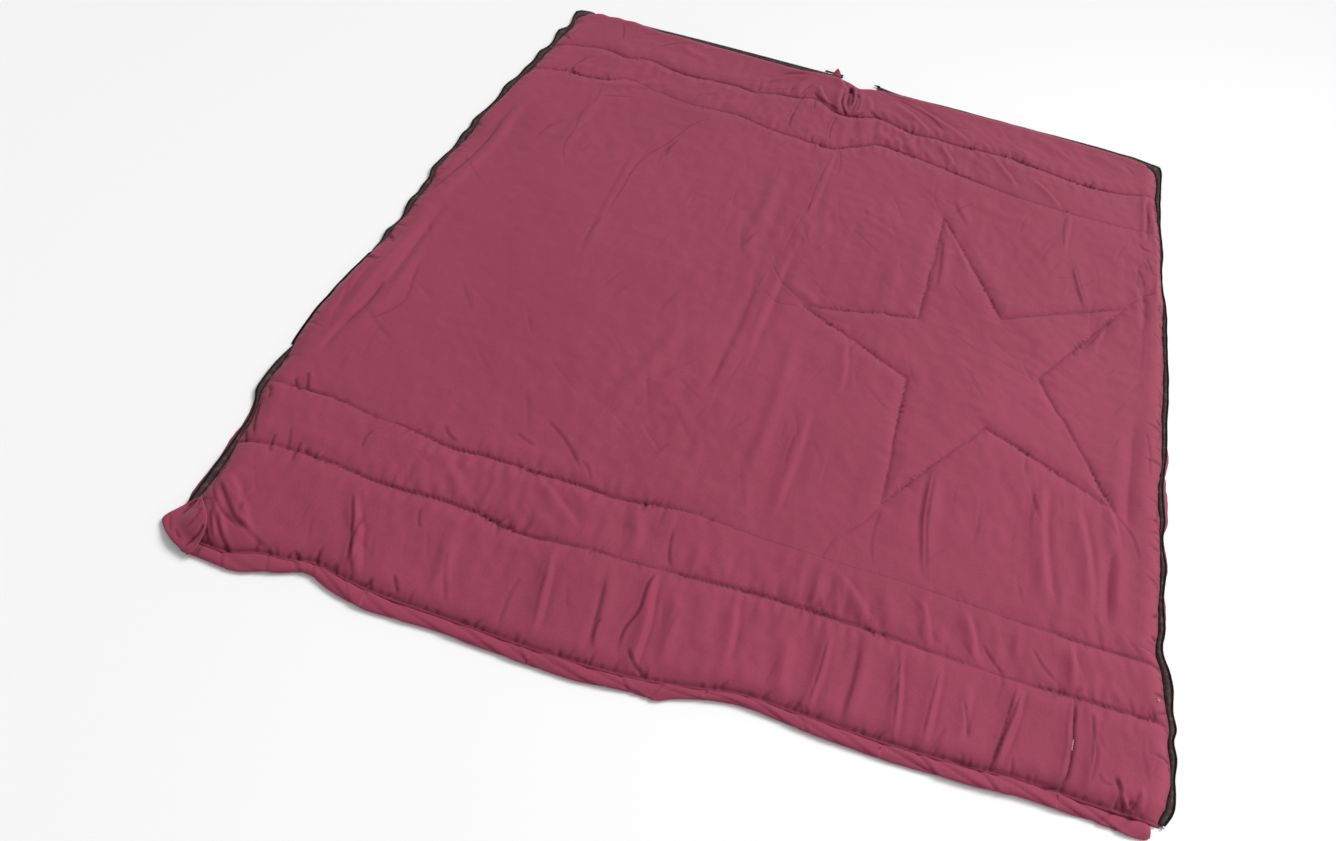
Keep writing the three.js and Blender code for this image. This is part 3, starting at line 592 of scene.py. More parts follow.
def edge_gathers(surface, seed):
    """Short creases that run in from the sides, where the zip draws the cloth up, and from the hem."""
    random = np.random.RandomState(seed)
    side_step, head_step, left_out = 9 * MM, 11 * MM, 0.30
    sides = np.arange(-0.745, 0.74, side_step)
    head = np.arange(-0.66, 0.66, head_step)
    for along, seam, turn in (
        (sides, LEFT_SEAM, 0),
        (sides, RIGHT_SEAM, math.pi),
        (head, NEAR_SEAM, math.pi / 2),
    ):
        for place in along:
            if random.uniform() < left_out:
                continue
            place += random.uniform(-4, 4) * MM
            start = np.array([float(smooth_curve(seam, place)), place])
            length = 0.010 + 0.038 * random.uniform() ** 2
            if seam is NEAR_SEAM:
                start = start[::-1] + (0, 3 * MM)
                length *= 0.7
            heading = turn + random.normal(0, 0.5)
            end = start + length * np.array([math.cos(heading), math.sin(heading)])
            line = bowed(*start, *end, random.uniform(-2, 2) * MM, 5)
            depth, width = random.uniform(0.8, 2.4) * MM, random.uniform(2.0, 3.6) * MM
            add_crease(surface, line, width, depth, "line", (0.05, 0.8), random.choice([-1, 1]))


def pressed_lines(surface):
    """Sharp lines: the ones that stand out, and many faint ones that follow how each slack place wrinkles."""
    for width, depth, steep, *places in LINES_PRESSED:
        add_crease(surface, wound(pairs(*places)), width * MM, depth * MM, "line", (0.2, 0.25), steep)
    random = np.random.RandomState(17)
    for cx, cy, reach_x, reach_y, degrees, amount in SLACK:
        count = int(4 + 420 * reach_x * reach_y * amount)
        for _ in range(count):
            px, py = cx + reach_x * random.normal(0, 0.55), cy + reach_y * random.normal(0, 0.55)
            angle = math.radians(degrees + random.normal(0, 16))
            half = min(0.5 * random.uniform(0.05, 0.16), 0.9 * max(reach_x, reach_y))
            if abs(py) > OPEN_FIELD:
                half = min(half, 0.035)
            dx, dy = half * math.cos(angle), half * math.sin(angle)
            line = bowed(px - dx, py - dy, px + dx, py + dy, random.uniform(-0.10, 0.10) * half)
            width, depth = random.uniform(2.4, 4.2), random.uniform(0.3, 0.9)
            add_crease(surface, line, width * MM, depth * MM, "line", (0.45, 0.45), random.choice([-1, 1]))


# ---- Quilt grids ----
GRID_STEP = 2.25 * MM
COLUMNS = 8 * round(2 * HALF_WIDTH / GRID_STEP / 8) + 1
LINES = 8 * round((FOOT_SEAM - HEAD_SEAM) / GRID_STEP / 8) + 1
across_line = np.linspace(-HALF_WIDTH, HALF_WIDTH, COLUMNS)
along_line = np.linspace(HEAD_SEAM, FOOT_SEAM, LINES)
PATTERN_X, PATTERN_Y = np.meshgrid(across_line, along_line)
ACROSS_STEP, ALONG_STEP = across_line[1] - across_line[0], along_line[1] - along_line[0]


def pull_together(a, b, rest, strength):
    """Moves two sets of points half way each toward their rest distance, in place."""
    gap = b - a
    length = np.sqrt((gap * gap).sum(-1, keepdims=True)) + 1e-9
    gap *= 0.5 * strength * (1 - rest / length)
    a += gap
    b -= gap


def pair_views(grid, direction, parity):
    """The two ends of every link that runs in one direction, as views that don't share a point."""
    rows, cols = grid.shape[:2]
    if direction == "across":
        n = (cols - parity) // 2
        return grid[:, parity : parity + 2 * n : 2], grid[:, parity + 1 : parity + 1 + 2 * n : 2]
    n = (rows - parity) // 2
    a = grid[parity : parity + 2 * n : 2]
    b = grid[parity + 1 : parity + 1 + 2 * n : 2]
    if direction == "along":
        return a, b
    return (a[:, :-1], b[:, 1:]) if direction == "down" else (a[:, 1:], b[:, :-1])


def smoothed(field):
    """Each point's average with its four neighbours."""
    out = field.copy()
    out[1:-1, 1:-1] = 0.5 * field[1:-1, 1:-1] + 0.125 * (
        field[:-2, 1:-1] + field[2:, 1:-1] + field[1:-1, :-2] + field[1:-1, 2:]
    )
    return out


def settle(start, strain, hold, rounds, stiffness, firmness):
    """Lets cloth with extra length buckle into wrinkles over a soft pad.

    start is a grid of points. strain is the extra length as a share, as fields for XX, XY and YY.
    hold is how firmly each point is kept where it starts, stiffness how much the cloth resists
    bending, firmness how strongly the pad pushes the cloth back to where it started."""
    points = start.astype(np.float32)
    target = points.copy()
    fields = np.stack(strain, -1).astype(np.float32)
    links = []
    for direction, strength in (("across", 1.0), ("along", 1.0), ("down", 0.5), ("up", 0.5)):
        for parity in (0, 1):
            a, b = pair_views(points, direction, parity)
            gap = b - a
            rest = np.sqrt((gap * gap).sum(-1, keepdims=True))
            dx, dy = gap[..., 0] / rest[..., 0], gap[..., 1] / rest[..., 0]
            c, d = pair_views(fields, direction, parity)
            share = (c + d) / 2
            longer = share[..., 0] * dx * dx + 2 * share[..., 1] * dx * dy + share[..., 2] * dy * dy
            links.append((a, b, rest * (1 + longer[..., None]), strength))
    flat_hold = (0.02 + 0.5 * hold)[..., None].astype(np.float32)
    rise_hold = (firmness + 0.6 * hold).astype(np.float32)
    for _ in range(rounds):
        for a, b, rest, strength in links:
            pull_together(a, b, rest, strength)
        off = points - target
        bend = smoothed(off) - off
        off -= stiffness * (smoothed(bend) - bend)
        off[..., :2] *= 1 - flat_hold
        off[..., 2] *= 1 - rise_hold
        points[:] = target + off
    return points.astype(float)


def refined(field):
    """A grid with a new point between each two, on a smooth curve through the old ones."""
    for axis in (0, 1):
        field = np.moveaxis(field, axis, 0)
        out = np.zeros((2 * len(field) - 1,) + field.shape[1:])
        out[::2] = field
        middle = (field[1:] + field[:-1]) / 2
        middle[1:-1] = (9 * (field[1:-2] + field[2:-1]) - field[:-3] - field[3:]) / 16
        out[1::2] = middle
        field = np.moveaxis(out, 0, axis)
    return field


# Places where the cloth lies slack: x and y of the centre, reach across and along, all in millimetres, the
# way its wrinkles run in degrees, how slack.
SLACK = np.array([
    (-60, 100, 100, 600, 87, 0.9), (-665, -50, 50, 500, 91, 1.3), (-450, 330, 220, 200, 62, 1.0),
    (-250, 150, 220, 280, 72, 0.9), (-330, -320, 260, 160, 140, 0.7), (-120, -330, 140, 200, 66, 0.8),
    (110, 260, 150, 200, 118, 1.3), (120, -300, 140, 200, 84, 0.9), (370, -20, 160, 140, 146, 1.1),
    (410, -340, 120, 120, 92, 1.2), (560, -360, 100, 160, 97, 1.4), (600, 30, 80, 200, 58, 1.3),
    (660, 400, 40, 250, 100, 1.8), (450, 300, 140, 140, 74, 1.1), (-400, 680, 300, 50, 38, 1.2),
    (-120, 670, 100, 50, 40, 2.0), (170, 660, 160, 60, 148, 1.6), (480, 660, 200, 60, 150, 1.4),
    (-400, 550, 300, 40, 44, 1.3), (300, 550, 300, 40, 136, 1.5), (-640, -690, 60, 50, 130, 2.0),
    (-400, -670, 200, 60, 110, 1.0), (0, -670, 250, 60, 95, 1.1), (350, -670, 220, 60, 86, 1.1),
    (620, -670, 80, 60, 96, 1.2), (-350, -540, 300, 35, 138, 1.4), (100, -545, 220, 35, 100, 1.2),
    (430, -560, 180, 35, 112, 1.6),
]) / (1000, 1000, 1000, 1000, 1, 1)


def add_stretch(strain, angle, amount):
    """Adds extra length in one direction to the three strain fields."""
    c, s = np.cos(angle), np.sin(angle)
    strain[0] += amount * c * c
    strain[1] += amount * c * s
    strain[2] += amount * s * s


def slack_strain(x, y, seed):
    """Extra length of the slack places, and a little everywhere."""
    strain = [0.0008 + 0 * x, 0 * x, 0.0008 + 0 * x]
    wander = 0.45 * value_noise(x, y, 0.15, seed)
    patchy = 0.35 + 0.65 * smoothstep(0.5 + 0.9 * value_noise(x, y, 0.09, seed + 1))
    for cx, cy, reach_x, reach_y, degrees, amount in SLACK:
        near = np.exp(-(((x - cx) / reach_x) ** 2) - ((y - cy) / reach_y) ** 2)
        add_stretch(strain, math.radians(degrees - 90) + wander, 0.01 * amount * near * patchy)
    return strain


def seam_strain(x, y, edge, near, far):
    """Extra length beside the seams, where the thread has drawn the cloth together."""
    strain = [0 * x, 0 * x, 0 * x]
    for name in ROWS:
        away = np.abs(y - row_line(name, x))
        strain[0] += row_depth(name, x) * (near * np.exp(-away / 0.012) + far * np.exp(-away / 0.040))
    away, where = star_distance(x, y)
    way = np.roll(STAR, -1, 0) - STAR
    turns = np.arctan2(way[:, 1], way[:, 0])
    angle = turns[np.minimum(where.astype(int), len(turns) - 1)]
    add_stretch(strain, angle, 0.6 * near * np.exp(-away / 0.009) + 0.6 * far * np.exp(-away / 0.03))
    side, end = edge
    strain[2] += far * 1.5 * np.exp(-side / 0.02)
    strain[0] += far * 1.5 * np.exp(-end / 0.02)
    return strain


# The cloth settles on a coarse grid first and then on finer ones. Each has: every how many points it takes,
# rounds, the pad's firmness, how much of the slack, the extra length close to a seam and further off, seed.
SETTLING = (
    (8, 90, 0.010, 1.0, 0.0, 0.005, 45),
    (4, 110, 0.010, 1.7, 0.0, 0.016, 51),
    (2, 110, 0.016, 1.6, 0.02, 0.028, 61),
    (1, 50, 0.035, 0.6, 0.06, 0.008, 71),
)
LOWEST_EDGE = 3.0 * MM


def lining_surface():
    """The lining's grid of points, and from 0 to 1 its painted shade: colour darkened in its creases and
    along its seams.
    """
    across, along = round_corner(PATTERN_X, PATTERN_Y)
    x, y = laid_out(across, along)
    surface = np.stack([x, y, base_height(x, y, PATTERN_X, PATTERN_Y)], -1)
    soft_folds([x, y, surface[..., 2]])
    side = HALF_WIDTH - np.abs(PATTERN_X)
    end = np.minimum(FOOT_SEAM - PATTERN_Y, PATTERN_Y - HEAD_SEAM)
    edge = np.minimum(side, end)
    inner = smoothstep(edge / 0.02)
    seam_hold = 0 * x
    for name in ROWS:
        away = np.abs(y - row_line(name, x))
        seam_hold = np.maximum(seam_hold, 0.4 * row_depth(name, x) * np.exp(-((away / 0.005) ** 2)))
    away, _ = star_distance(x, y)
    seam_hold = np.maximum(seam_hold, 0.25 * np.exp(-((away / 0.004) ** 2)))
    hold = np.maximum(seam_hold, 0.8 * smoothstep(1 - edge / 0.006))
    surface[..., 2] += inner * 0.4 * MM * (value_noise(x, y, 0.035, 31) + 0.6 * value_noise(x, y, 0.014, 32))
    for skip, rounds, firmness, slack, near, far, seed in SETTLING:
        part = (slice(None, None, skip), slice(None, None, skip))
        px, py = x[part], y[part]
        strain = seam_strain(px, py, (side[part], end[part]), near, far)
        for total, extra in zip(strain, slack_strain(px, py, seed)):
            total += slack * extra
            total *= inner[part]
        start = surface[part]
        moved = settle(start, strain, hold[part], rounds, 0.5, firmness) - start
        while skip > 1:
            moved = refined(moved)
            skip //= 2
        surface += moved * (1 - 0.7 * seam_hold)[..., None]
    sharp = [surface[..., 0], surface[..., 1], surface[..., 2].copy()]
    gathers(sharp, 21, 0.026, 1.9 * MM)
    gathers(sharp, 22, 0.012, 2.2 * MM)
    edge_gathers(sharp, 23)
    pressed_lines(sharp)
    teeth = all_teeth(surface[..., 0], surface[..., 1])
    sharp[2] -= 1.4 * MM * teeth
    hem_line = np.exp(-np.abs(PATTERN_Y - HEAD_SEAM - 4 * MM) / (1.6 * MM))
    sharp[2] -= 1.9 * MM * hem_line * (1 + 0.4 * wave_noise(x, 0.03, 35))
    # Painted shade: darker the deeper each crease is cut, and along the quilting rows, the star and their
    # ticks.
    painted_shade = np.clip((surface[..., 2] - sharp[2] - 0.2 * MM) / (2.0 * MM), 0, 1)
    for name in ROWS:
        away = np.abs(surface[..., 1] - row_line(name, surface[..., 0]))
        dotted = 0.65 + 0.5 * value_noise(x, y, 0.006, 39)
        painted_shade += 1.25 * row_depth(name, x) ** 0.8 * dotted * np.exp(-away / (1.2 * MM))
    away, _ = star_distance(surface[..., 0], surface[..., 1])
    painted_shade += 0.36 * np.clip(0.5 + value_noise(x, y, 0.005, 40), 0, 1) * np.exp(-away / (2.0 * MM))
    painted_shade += 0.25 * teeth
    surface[..., 2] += (sharp[2] - surface[..., 2]) * smoothstep(side / 0.005) * smoothstep(end / 0.004)
    frill = 1.3 * MM * wave_noise(y, 0.022, 36) + 0.8 * MM * wave_noise(y, 0.009, 37)
    surface[..., 0] += np.sign(PATTERN_X) * (np.exp(-side / 0.008) * frill)
    surface[..., 2] += 0.7 * MM * np.exp(-side / 0.010) * wave_noise(y, 0.016, 38)
    surface[..., 2] = np.maximum(surface[..., 2], LOWEST_EDGE)
    return surface, np.clip(painted_shade, 0, 1)


TOP, LINING_PAINTED_SHADE = lining_surface()


def on_surface(x, y):
    """The point of the lining over (x, y), and its normal."""
    x, y = np.atleast_1d(np.asarray(x, float)), np.atleast_1d(np.asarray(y, float))
    across, along = x.copy(), y.copy()
    for _ in range(6):
        px, py = laid_out(across, along)
        across, along = across + x - px, along + y - py
    i = np.clip((across + HALF_WIDTH) / ACROSS_STEP, 0, COLUMNS - 1.001)
    j = np.clip((along - HEAD_SEAM) / ALONG_STEP, 0, LINES - 1.001)
    i0, j0 = i.astype(int), j.astype(int)
    u, v = (i - i0)[:, None], (j - j0)[:, None]
    a, b = TOP[j0, i0], TOP[j0, i0 + 1]
    c, d = TOP[j0 + 1, i0], TOP[j0 + 1, i0 + 1]
    point = (a * (1 - u) + b * u) * (1 - v) + (c * (1 - u) + d * u) * v
    normal = np.cross(b - a + d - c, c - a + d - b)
    normal /= np.linalg.norm(normal, axis=1)[:, None]
    return point, normal


# ---- Mesh helpers ----
def mesh_object(name, points, faces, material, smooth=True):
    """A new object from points and a list of face arrays, each of one corner count."""
    mesh = bpy.data.meshes.new(name)
    mesh.from_pydata([], [], [])
    points = np.asarray(points, np.float32).reshape(-1, 3)
    faces = [np.asarray(f, np.int32) for f in faces]
    sizes = np.concatenate([np.full(len(f), f.shape[1], np.int32) for f in faces])
    corners = np.concatenate([f.ravel() for f in faces])
    mesh.vertices.add(len(points))
    mesh.vertices.foreach_set("co", points.ravel())
    mesh.loops.add(len(corners))
    mesh.loops.foreach_set("vertex_index", corners)
    mesh.polygons.add(len(sizes))
    starts = np.concatenate([[0], np.cumsum(sizes)[:-1]]).astype(np.int32)
    mesh.polygons.foreach_set("loop_start", starts)
    mesh.polygons.foreach_set("use_smooth", np.full(len(sizes), smooth))
    mesh.update(calc_edges=True)
    mesh.materials.append(material)
    mesh.validate()
    obj = bpy.data.objects.new(name, mesh)
    bpy.context.scene.collection.objects.link(obj)
    return obj


def paint_shade(obj, amounts):
    """Stores each point's painted shade, how far its colour is darkened to stand for shade, for the fabric
    and tape materials. Points past the last amount get none.
    """
    values = np.zeros(len(obj.data.vertices), np.float32)
    amounts = np.asarray(amounts, np.float32).ravel()
    values[: len(amounts)] = amounts
    obj.data.attributes.new("painted_shade", "FLOAT", "POINT").data.foreach_set("value", values)


def grid_faces(rows, cols, offset=0, flip=False, wrap=False):
    """Quads of a grid of points stored row by row. wrap joins the last column to the first."""
    i, j = np.meshgrid(np.arange(cols if wrap else cols - 1), np.arange(rows - 1))
    a = j * cols + i
    b = j * cols + (i + 1) % cols
    c, d = b + cols, a + cols
    quads = np.stack([a, b, c, d] if not flip else [a, d, c, b], -1).reshape(-1, 4)
    return quads + offset


def slab(name, top, bottom, material, skip=1):
    """A closed skin between two grids of points. The bottom one may have only every skip-th point."""
    bottom = bottom[::skip, ::skip]
    rows, cols = top.shape[:2]
    low_rows, low_cols = bottom.shape[:2]
    count = rows * cols
    points = np.concatenate([top.reshape(-1, 3), bottom.reshape(-1, 3)])
    faces = [grid_faces(rows, cols), grid_faces(low_rows, low_cols, count, flip=True)]
    high = np.arange(count).reshape(rows, cols)
    low = count + np.arange(low_rows * low_cols).reshape(low_rows, low_cols)
    for upper, lower in (
        (high[0], low[0]),
        (high[-1, ::-1], low[-1, ::-1]),
        (high[::-1, 0], low[::-1, 0]),
        (high[:, -1], low[:, -1]),
    ):
        if skip == 1:
            faces.append(np.stack([upper[:-1], lower[:-1], lower[1:], upper[1:]], 1))
            continue
        owner = (np.arange(len(upper) - 1) + skip // 2) // skip
        faces.append(np.stack([upper[:-1], lower[owner], upper[1:]], 1))
        middle = upper[np.arange(len(lower) - 1) * skip + (skip + 1) // 2]
        faces.append(np.stack([middle, lower[:-1], lower[1:]], 1))
    return mesh_object(name, points, faces, material)


def frames_along(path):
    """Unit tangent, sideways and upward vectors along a run of points."""
    tangent = np.gradient(path, axis=0)
    tangent /= np.linalg.norm(tangent, axis=1)[:, None]
    sideways = np.cross(tangent, (0.0, 0.0, 1.0))
    sideways /= np.linalg.norm(sideways, axis=1)[:, None]
    return tangent, sideways, np.cross(sideways, tangent)


def tube_points(path, radius_side, radius_up, sides):
    """Rings of points round a path. A radius is one number, or one for each point of the path."""
    _, sideways, upward = frames_along(path)
    turn = np.linspace(0, 2 * math.pi, sides, endpoint=False)[None, :, None]
    wide = np.cos(turn) * sideways[:, None] * np.reshape(radius_side, (-1, 1, 1))
    tall = np.sin(turn) * upward[:, None] * np.reshape(radius_up, (-1, 1, 1))
    return path[:, None] + wide + tall


def tube_faces(rows, sides):
    """A closed tube: the quads between its rings, and its two end caps."""
    caps = np.stack([np.arange(sides)[::-1], (rows - 1) * sides + np.arange(sides)])
    return [grid_faces(rows, sides, wrap=True), caps]


# ---- Materials ----
def new_material(name, roughness, metallic=0.0, sheen=0.0):
    """A material with its node tree and its Principled shader."""
    material = bpy.data.materials.new(name)
    material.use_nodes = True
    tree = material.node_tree
    shader = tree.nodes["Principled BSDF"]
    shader.inputs["Roughness"].default_value = roughness
    shader.inputs["Metallic"].default_value = metallic
    if sheen:
        shader.inputs["Sheen Weight"].default_value = sheen
        shader.inputs["Sheen Roughness"].default_value = 0.45
    return material, tree, shader


def srgb(*shades):
    """A colour for the nodes from its red, green and blue as 0 to 255 in sRGB."""
    linear = [c / 255 / 12.92 if c / 255 <= 0.04045 else ((c / 255 + 0.055) / 1.055) ** 2.4 for c in shades]
    return (*linear, 1.0)


def place_node(tree, scale=(1, 1, 1)):
    """The place in the object's own space, stretched by scale."""
    where = tree.nodes.new("ShaderNodeTexCoord")
    mapping = tree.nodes.new("ShaderNodeMapping")
    mapping.inputs["Scale"].default_value = scale
    tree.links.new(where.outputs["Object"], mapping.inputs["Vector"])
    return mapping.outputs["Vector"]


def noise_node(tree, vector, scale, detail=2.0, roughness=0.5):
    """Noise from 0 to 1 with about scale features in a metre."""
    noise = tree.nodes.new("ShaderNodeTexNoise")
    noise.inputs["Scale"].default_value = scale
    noise.inputs["Detail"].default_value = detail
    noise.inputs["Roughness"].default_value = roughness
    tree.links.new(vector, noise.inputs["Vector"])
    return noise.outputs["Fac"]


def ramp_node(tree, value, stops):
    """A colour ramp through (place, colour) stops."""
    ramp = tree.nodes.new("ShaderNodeValToRGB")
    while len(ramp.color_ramp.elements) < len(stops):
        ramp.color_ramp.elements.new(0.5)
    for element, (place, colour) in zip(ramp.color_ramp.elements, stops):
        element.position = place
        element.color = colour
    tree.links.new(value, ramp.inputs["Fac"])
    return ramp.outputs["Color"]


def mix_node(tree, mode, factor, a, b):
    """Mixes two colours. Each input is a socket or a plain value."""
    mix = tree.nodes.new("ShaderNodeMix")
    mix.data_type = "RGBA"
    mix.blend_type = mode
    for name, value in (("Factor", factor), ("A", a), ("B", b)):
        socket = [s for s in mix.inputs if s.name == name and s.enabled][0]
        if isinstance(value, bpy.types.NodeSocket):
            tree.links.new(value, socket)
        else:
            socket.default_value = value
    return [s for s in mix.outputs if s.enabled][0]


def math_node(tree, operation, *values):
    """One sum or function of its inputs, each a socket or a number."""
    node = tree.nodes.new("ShaderNodeMath")
    node.operation = operation
    for socket, value in zip(node.inputs, values):
        if isinstance(value, bpy.types.NodeSocket):
            tree.links.new(value, socket)
        else:
            socket.default_value = value
    return node.outputs["Value"]


def weave_node(tree, vector, threads_per_metre):
    """A plain weave: warp and weft waves that take turns on top."""
    parts = tree.nodes.new("ShaderNodeSeparateXYZ")
    tree.links.new(vector, parts.inputs[0])
    waves = []
    for axis in ("X", "Y"):
        turn = math_node(tree, "MULTIPLY", parts.outputs[axis], math.pi * threads_per_metre)
        waves.append(math_node(tree, "SINE", turn))
    return math_node(tree, "MULTIPLY", *waves)


def bump_node(tree, height, strength, distance, normal=None):
    """Relief from a height, on top of an earlier relief if there is one."""
    bump = tree.nodes.new("ShaderNodeBump")
    bump.inputs["Strength"].default_value = strength
    bump.inputs["Distance"].default_value = distance
    tree.links.new(height, bump.inputs["Height"])
    if normal is not None:
        tree.links.new(normal, bump.inputs["Normal"])
    return bump.outputs["Normal"]


def darken_by_painted_shade(tree, colour, tint):
    """Darkens a colour by each point's painted shade, in creases, seams and hollows."""
    mark = tree.nodes.new("ShaderNodeAttribute")
    mark.attribute_name = "painted_shade"
    return mix_node(tree, "MULTIPLY", mark.outputs["Fac"], colour, tint)


def fabric_material(name, dark, middle, light, roughness=0.82, sheen=0.12):
    """Brushed microfibre: cloudy dye, a napped surface and a fine plain weave."""
    material, tree, shader = new_material(name, roughness, sheen=sheen)
    shader.inputs["Sheen Tint"].default_value = (1.0, 0.72, 0.80, 1.0)
    shader.inputs["Specular IOR Level"].default_value = 0.28
    vector = place_node(tree)
    cloud = noise_node(tree, vector, 3.2, 3.0)
    colour = ramp_node(tree, cloud, [(0.25, dark), (0.5, middle), (0.78, light)])
    nap = noise_node(tree, vector, 420.0, 2.0)
    speckle = ramp_node(tree, nap, [(0.3, (0.90, 0.90, 0.90, 1)), (0.7, (1.06, 1.06, 1.06, 1))])
    colour = mix_node(tree, "MULTIPLY", 1.0, colour, speckle)
    # Painted shade: the colour is darkened where the points carry painted shade.
    colour = darken_by_painted_shade(tree, colour, (0.50, 0.40, 0.46, 1))
    tree.links.new(colour, shader.inputs["Base Color"])
    crumple = noise_node(tree, vector, 65.0, 3.0)
    weave = weave_node(tree, vector, 1400.0)
    normal = bump_node(tree, crumple, 0.30, 1.2 * MM)
    normal = bump_node(tree, nap, 0.25, 0.3 * MM, normal)
    normal = bump_node(tree, weave, 0.15, 0.08 * MM, normal)
    tree.links.new(normal, shader.inputs["Normal"])
    rough = math_node(tree, "MULTIPLY_ADD", nap, 0.10, roughness - 0.05)
    tree.links.new(rough, shader.inputs["Roughness"])
    return material


LINING = fabric_material("lining_microfibre", srgb(142, 55, 78), srgb(146, 57, 81), srgb(150, 59, 84))
SHELL = fabric_material("shell_polyester", srgb(132, 58, 78), srgb(142, 63, 84), srgb(152, 69, 91), 0.7, 0.15)
HEM = fabric_material("hem_microfibre", srgb(144, 56, 79), srgb(148, 58, 82), srgb(152, 61, 86))


def thread_material(name, colour):
    """Spun thread with fine fibres."""
    material, tree, shader = new_material(name, 0.55, sheen=0.2)
    vector = place_node(tree)
    fibre = noise_node(tree, vector, 900.0, 2.0)
    dark = tuple(0.7 * c for c in colour[:3]) + (1,)
    tree.links.new(ramp_node(tree, fibre, [(0.3, dark), (0.7, colour)]), shader.inputs["Base Color"])
    tree.links.new(bump_node(tree, fibre, 0.4, 0.15 * MM), shader.inputs["Normal"])
    return material


# The seam thread is coloured far darker than the lining, so its beads also paint the shade of each seam's
# crease.
SEAM_THREAD_AND_SHADE = thread_material("seam_thread_and_painted_shade", srgb(98, 38, 55))
PALE_THREAD = thread_material("pale_thread", srgb(236, 222, 226))


def tape_material():
    """Herringbone twill tape: charcoal with fine slanted ribs and a little lint, whose pale mottles are also
    painted highlights of the crumpled tape.
    """
    material, tree, shader = new_material("zip_tape_twill", 0.9)
    shader.inputs["Specular IOR Level"].default_value = 0.15
    vector = place_node(tree)
    parts = tree.nodes.new("ShaderNodeSeparateXYZ")
    tree.links.new(vector, parts.inputs[0])
    slant = math_node(tree, "ADD", parts.outputs["X"], parts.outputs["Y"])
    rib = math_node(tree, "SINE", math_node(tree, "MULTIPLY", slant, 5200.0))
    lint_and_painted_highlights = noise_node(tree, vector, 95.0, 5.0, 0.75)
    # The pale end of this ramp is lint and also painted highlight where the tape crumples.
    colour = ramp_node(
        tree, lint_and_painted_highlights, [(0.3, srgb(52, 40, 41)), (0.52, srgb(74, 58, 58)), (0.75, srgb(116, 98, 95))]
    )
    # Painted shade: the tape is darkened at its edges, by the lining and under the coil.
    colour = darken_by_painted_shade(tree, colour, (0.18, 0.13, 0.15, 1))
    tree.links.new(colour, shader.inputs["Base Color"])
    normal = bump_node(tree, rib, 0.35, 0.2 * MM)
    tree.links.new(bump_node(tree, lint_and_painted_highlights, 0.3, 0.4 * MM, normal), shader.inputs["Normal"])
    return material


TAPE = tape_material()


def plastic_material(name, low, high, roughness, scale=160.0):
    """Nylon with a grain that shifts its colour from low to high."""
    material, tree, shader = new_material(name, roughness)
    shader.inputs["Specular IOR Level"].default_value = 0.2
    vector = place_node(tree)
    grain = noise_node(tree, vector, scale, 3.0)
    tree.links.new(ramp_node(tree, grain, [(0.3, low), (0.7, high)]), shader.inputs["Base Color"])
    rough = math_node(tree, "MULTIPLY_ADD", grain, 0.25, roughness - 0.12)
    tree.links.new(rough, shader.inputs["Roughness"])
    tree.links.new(bump_node(tree, grain, 0.15, 0.1 * MM), shader.inputs["Normal"])
    return material


COIL = plastic_material("coil_nylon", srgb(24, 18, 20), srgb(38, 30, 32), 0.5)
HOOK = plastic_material("hook_and_loop_nylon", srgb(52, 36, 42), srgb(80, 58, 66), 0.9, 700.0)


def metal_material(name, colour, worn, roughness, metallic):
    """Plated or lacquered metal with fine scratches and rubbed spots."""
    material, tree, shader = new_material(name, roughness, metallic)
    vector = place_node(tree, (1, 6, 1))
    scratch = noise_node(tree, vector, 900.0, 4.0, 0.7)
    rub = noise_node(tree, place_node(tree), 220.0, 3.0)
    tree.links.new(ramp_node(tree, rub, [(0.45, colour), (0.75, worn)]), shader.inputs["Base Color"])
    rough = math_node(tree, "MULTIPLY_ADD", scratch, 0.3, roughness - 0.12)
    tree.links.new(rough, shader.inputs["Roughness"])
    tree.links.new(bump_node(tree, scratch, 0.12, 0.05 * MM), shader.inputs["Normal"])
    return material


NICKEL = metal_material("zip_nickel", srgb(168, 166, 164), srgb(196, 194, 190), 0.34, 1.0)
LACQUER = metal_material("slider_lacquer", srgb(22, 19, 21), srgb(44, 40, 42), 0.5, 0.2)


def bend_over_fold(obj):
    """Bakes a piece's placement into its points; nothing here lets it bend along the centre fold."""
    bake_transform(obj)


# ---- Lining and padding: the quilted inner face ----
def make_lining():
    """The quilted lining and its padding in one closed skin, flat below."""
    under = TOP.copy()
    inset = smoothstep(np.minimum(HALF_WIDTH - np.abs(PATTERN_X), FOOT_SEAM - PATTERN_Y) / 0.012)
    under[..., 2] = 2.4 * MM - 0.2 * MM * inset
    under[..., 2] = np.minimum(under[..., 2], TOP[..., 2] - 0.4 * MM)
    quilt = slab("quilted_lining", TOP, under, LINING, skip=4)
    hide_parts("lining_right", "lining_left", "wadding_right", "wadding_left")
    paint_shade(quilt, LINING_PAINTED_SHADE)
    bend_over_fold(quilt)


make_lining()


# ---- Shell: the outer fabric, flat on the floor ----
# How far the shell's edge shows beyond the lining's, as (y, distance) points.
SHELL_LEFT = pairs(
    -752, 4, -720, 12, -680, 17.5, -600, 15, -520, 10, -480, 9, -440, 9, -400, 3, -300, 0, 750, 0,
)
SHELL_RIGHT = pairs(
    -752, 4, -735, 12, -720, 12, -690, 8, -660, 3, -550, 3, -510, 9, -470, 12, -440, 13, -405, 13, -379, 8,
    -350, 12, -327, 13.5, -302, 10, -276, 8, -253, 14, -203, 18, -170, 14, -146, 10, -109, 14, -73, 9,
    -20, 3, 750, 0,
)


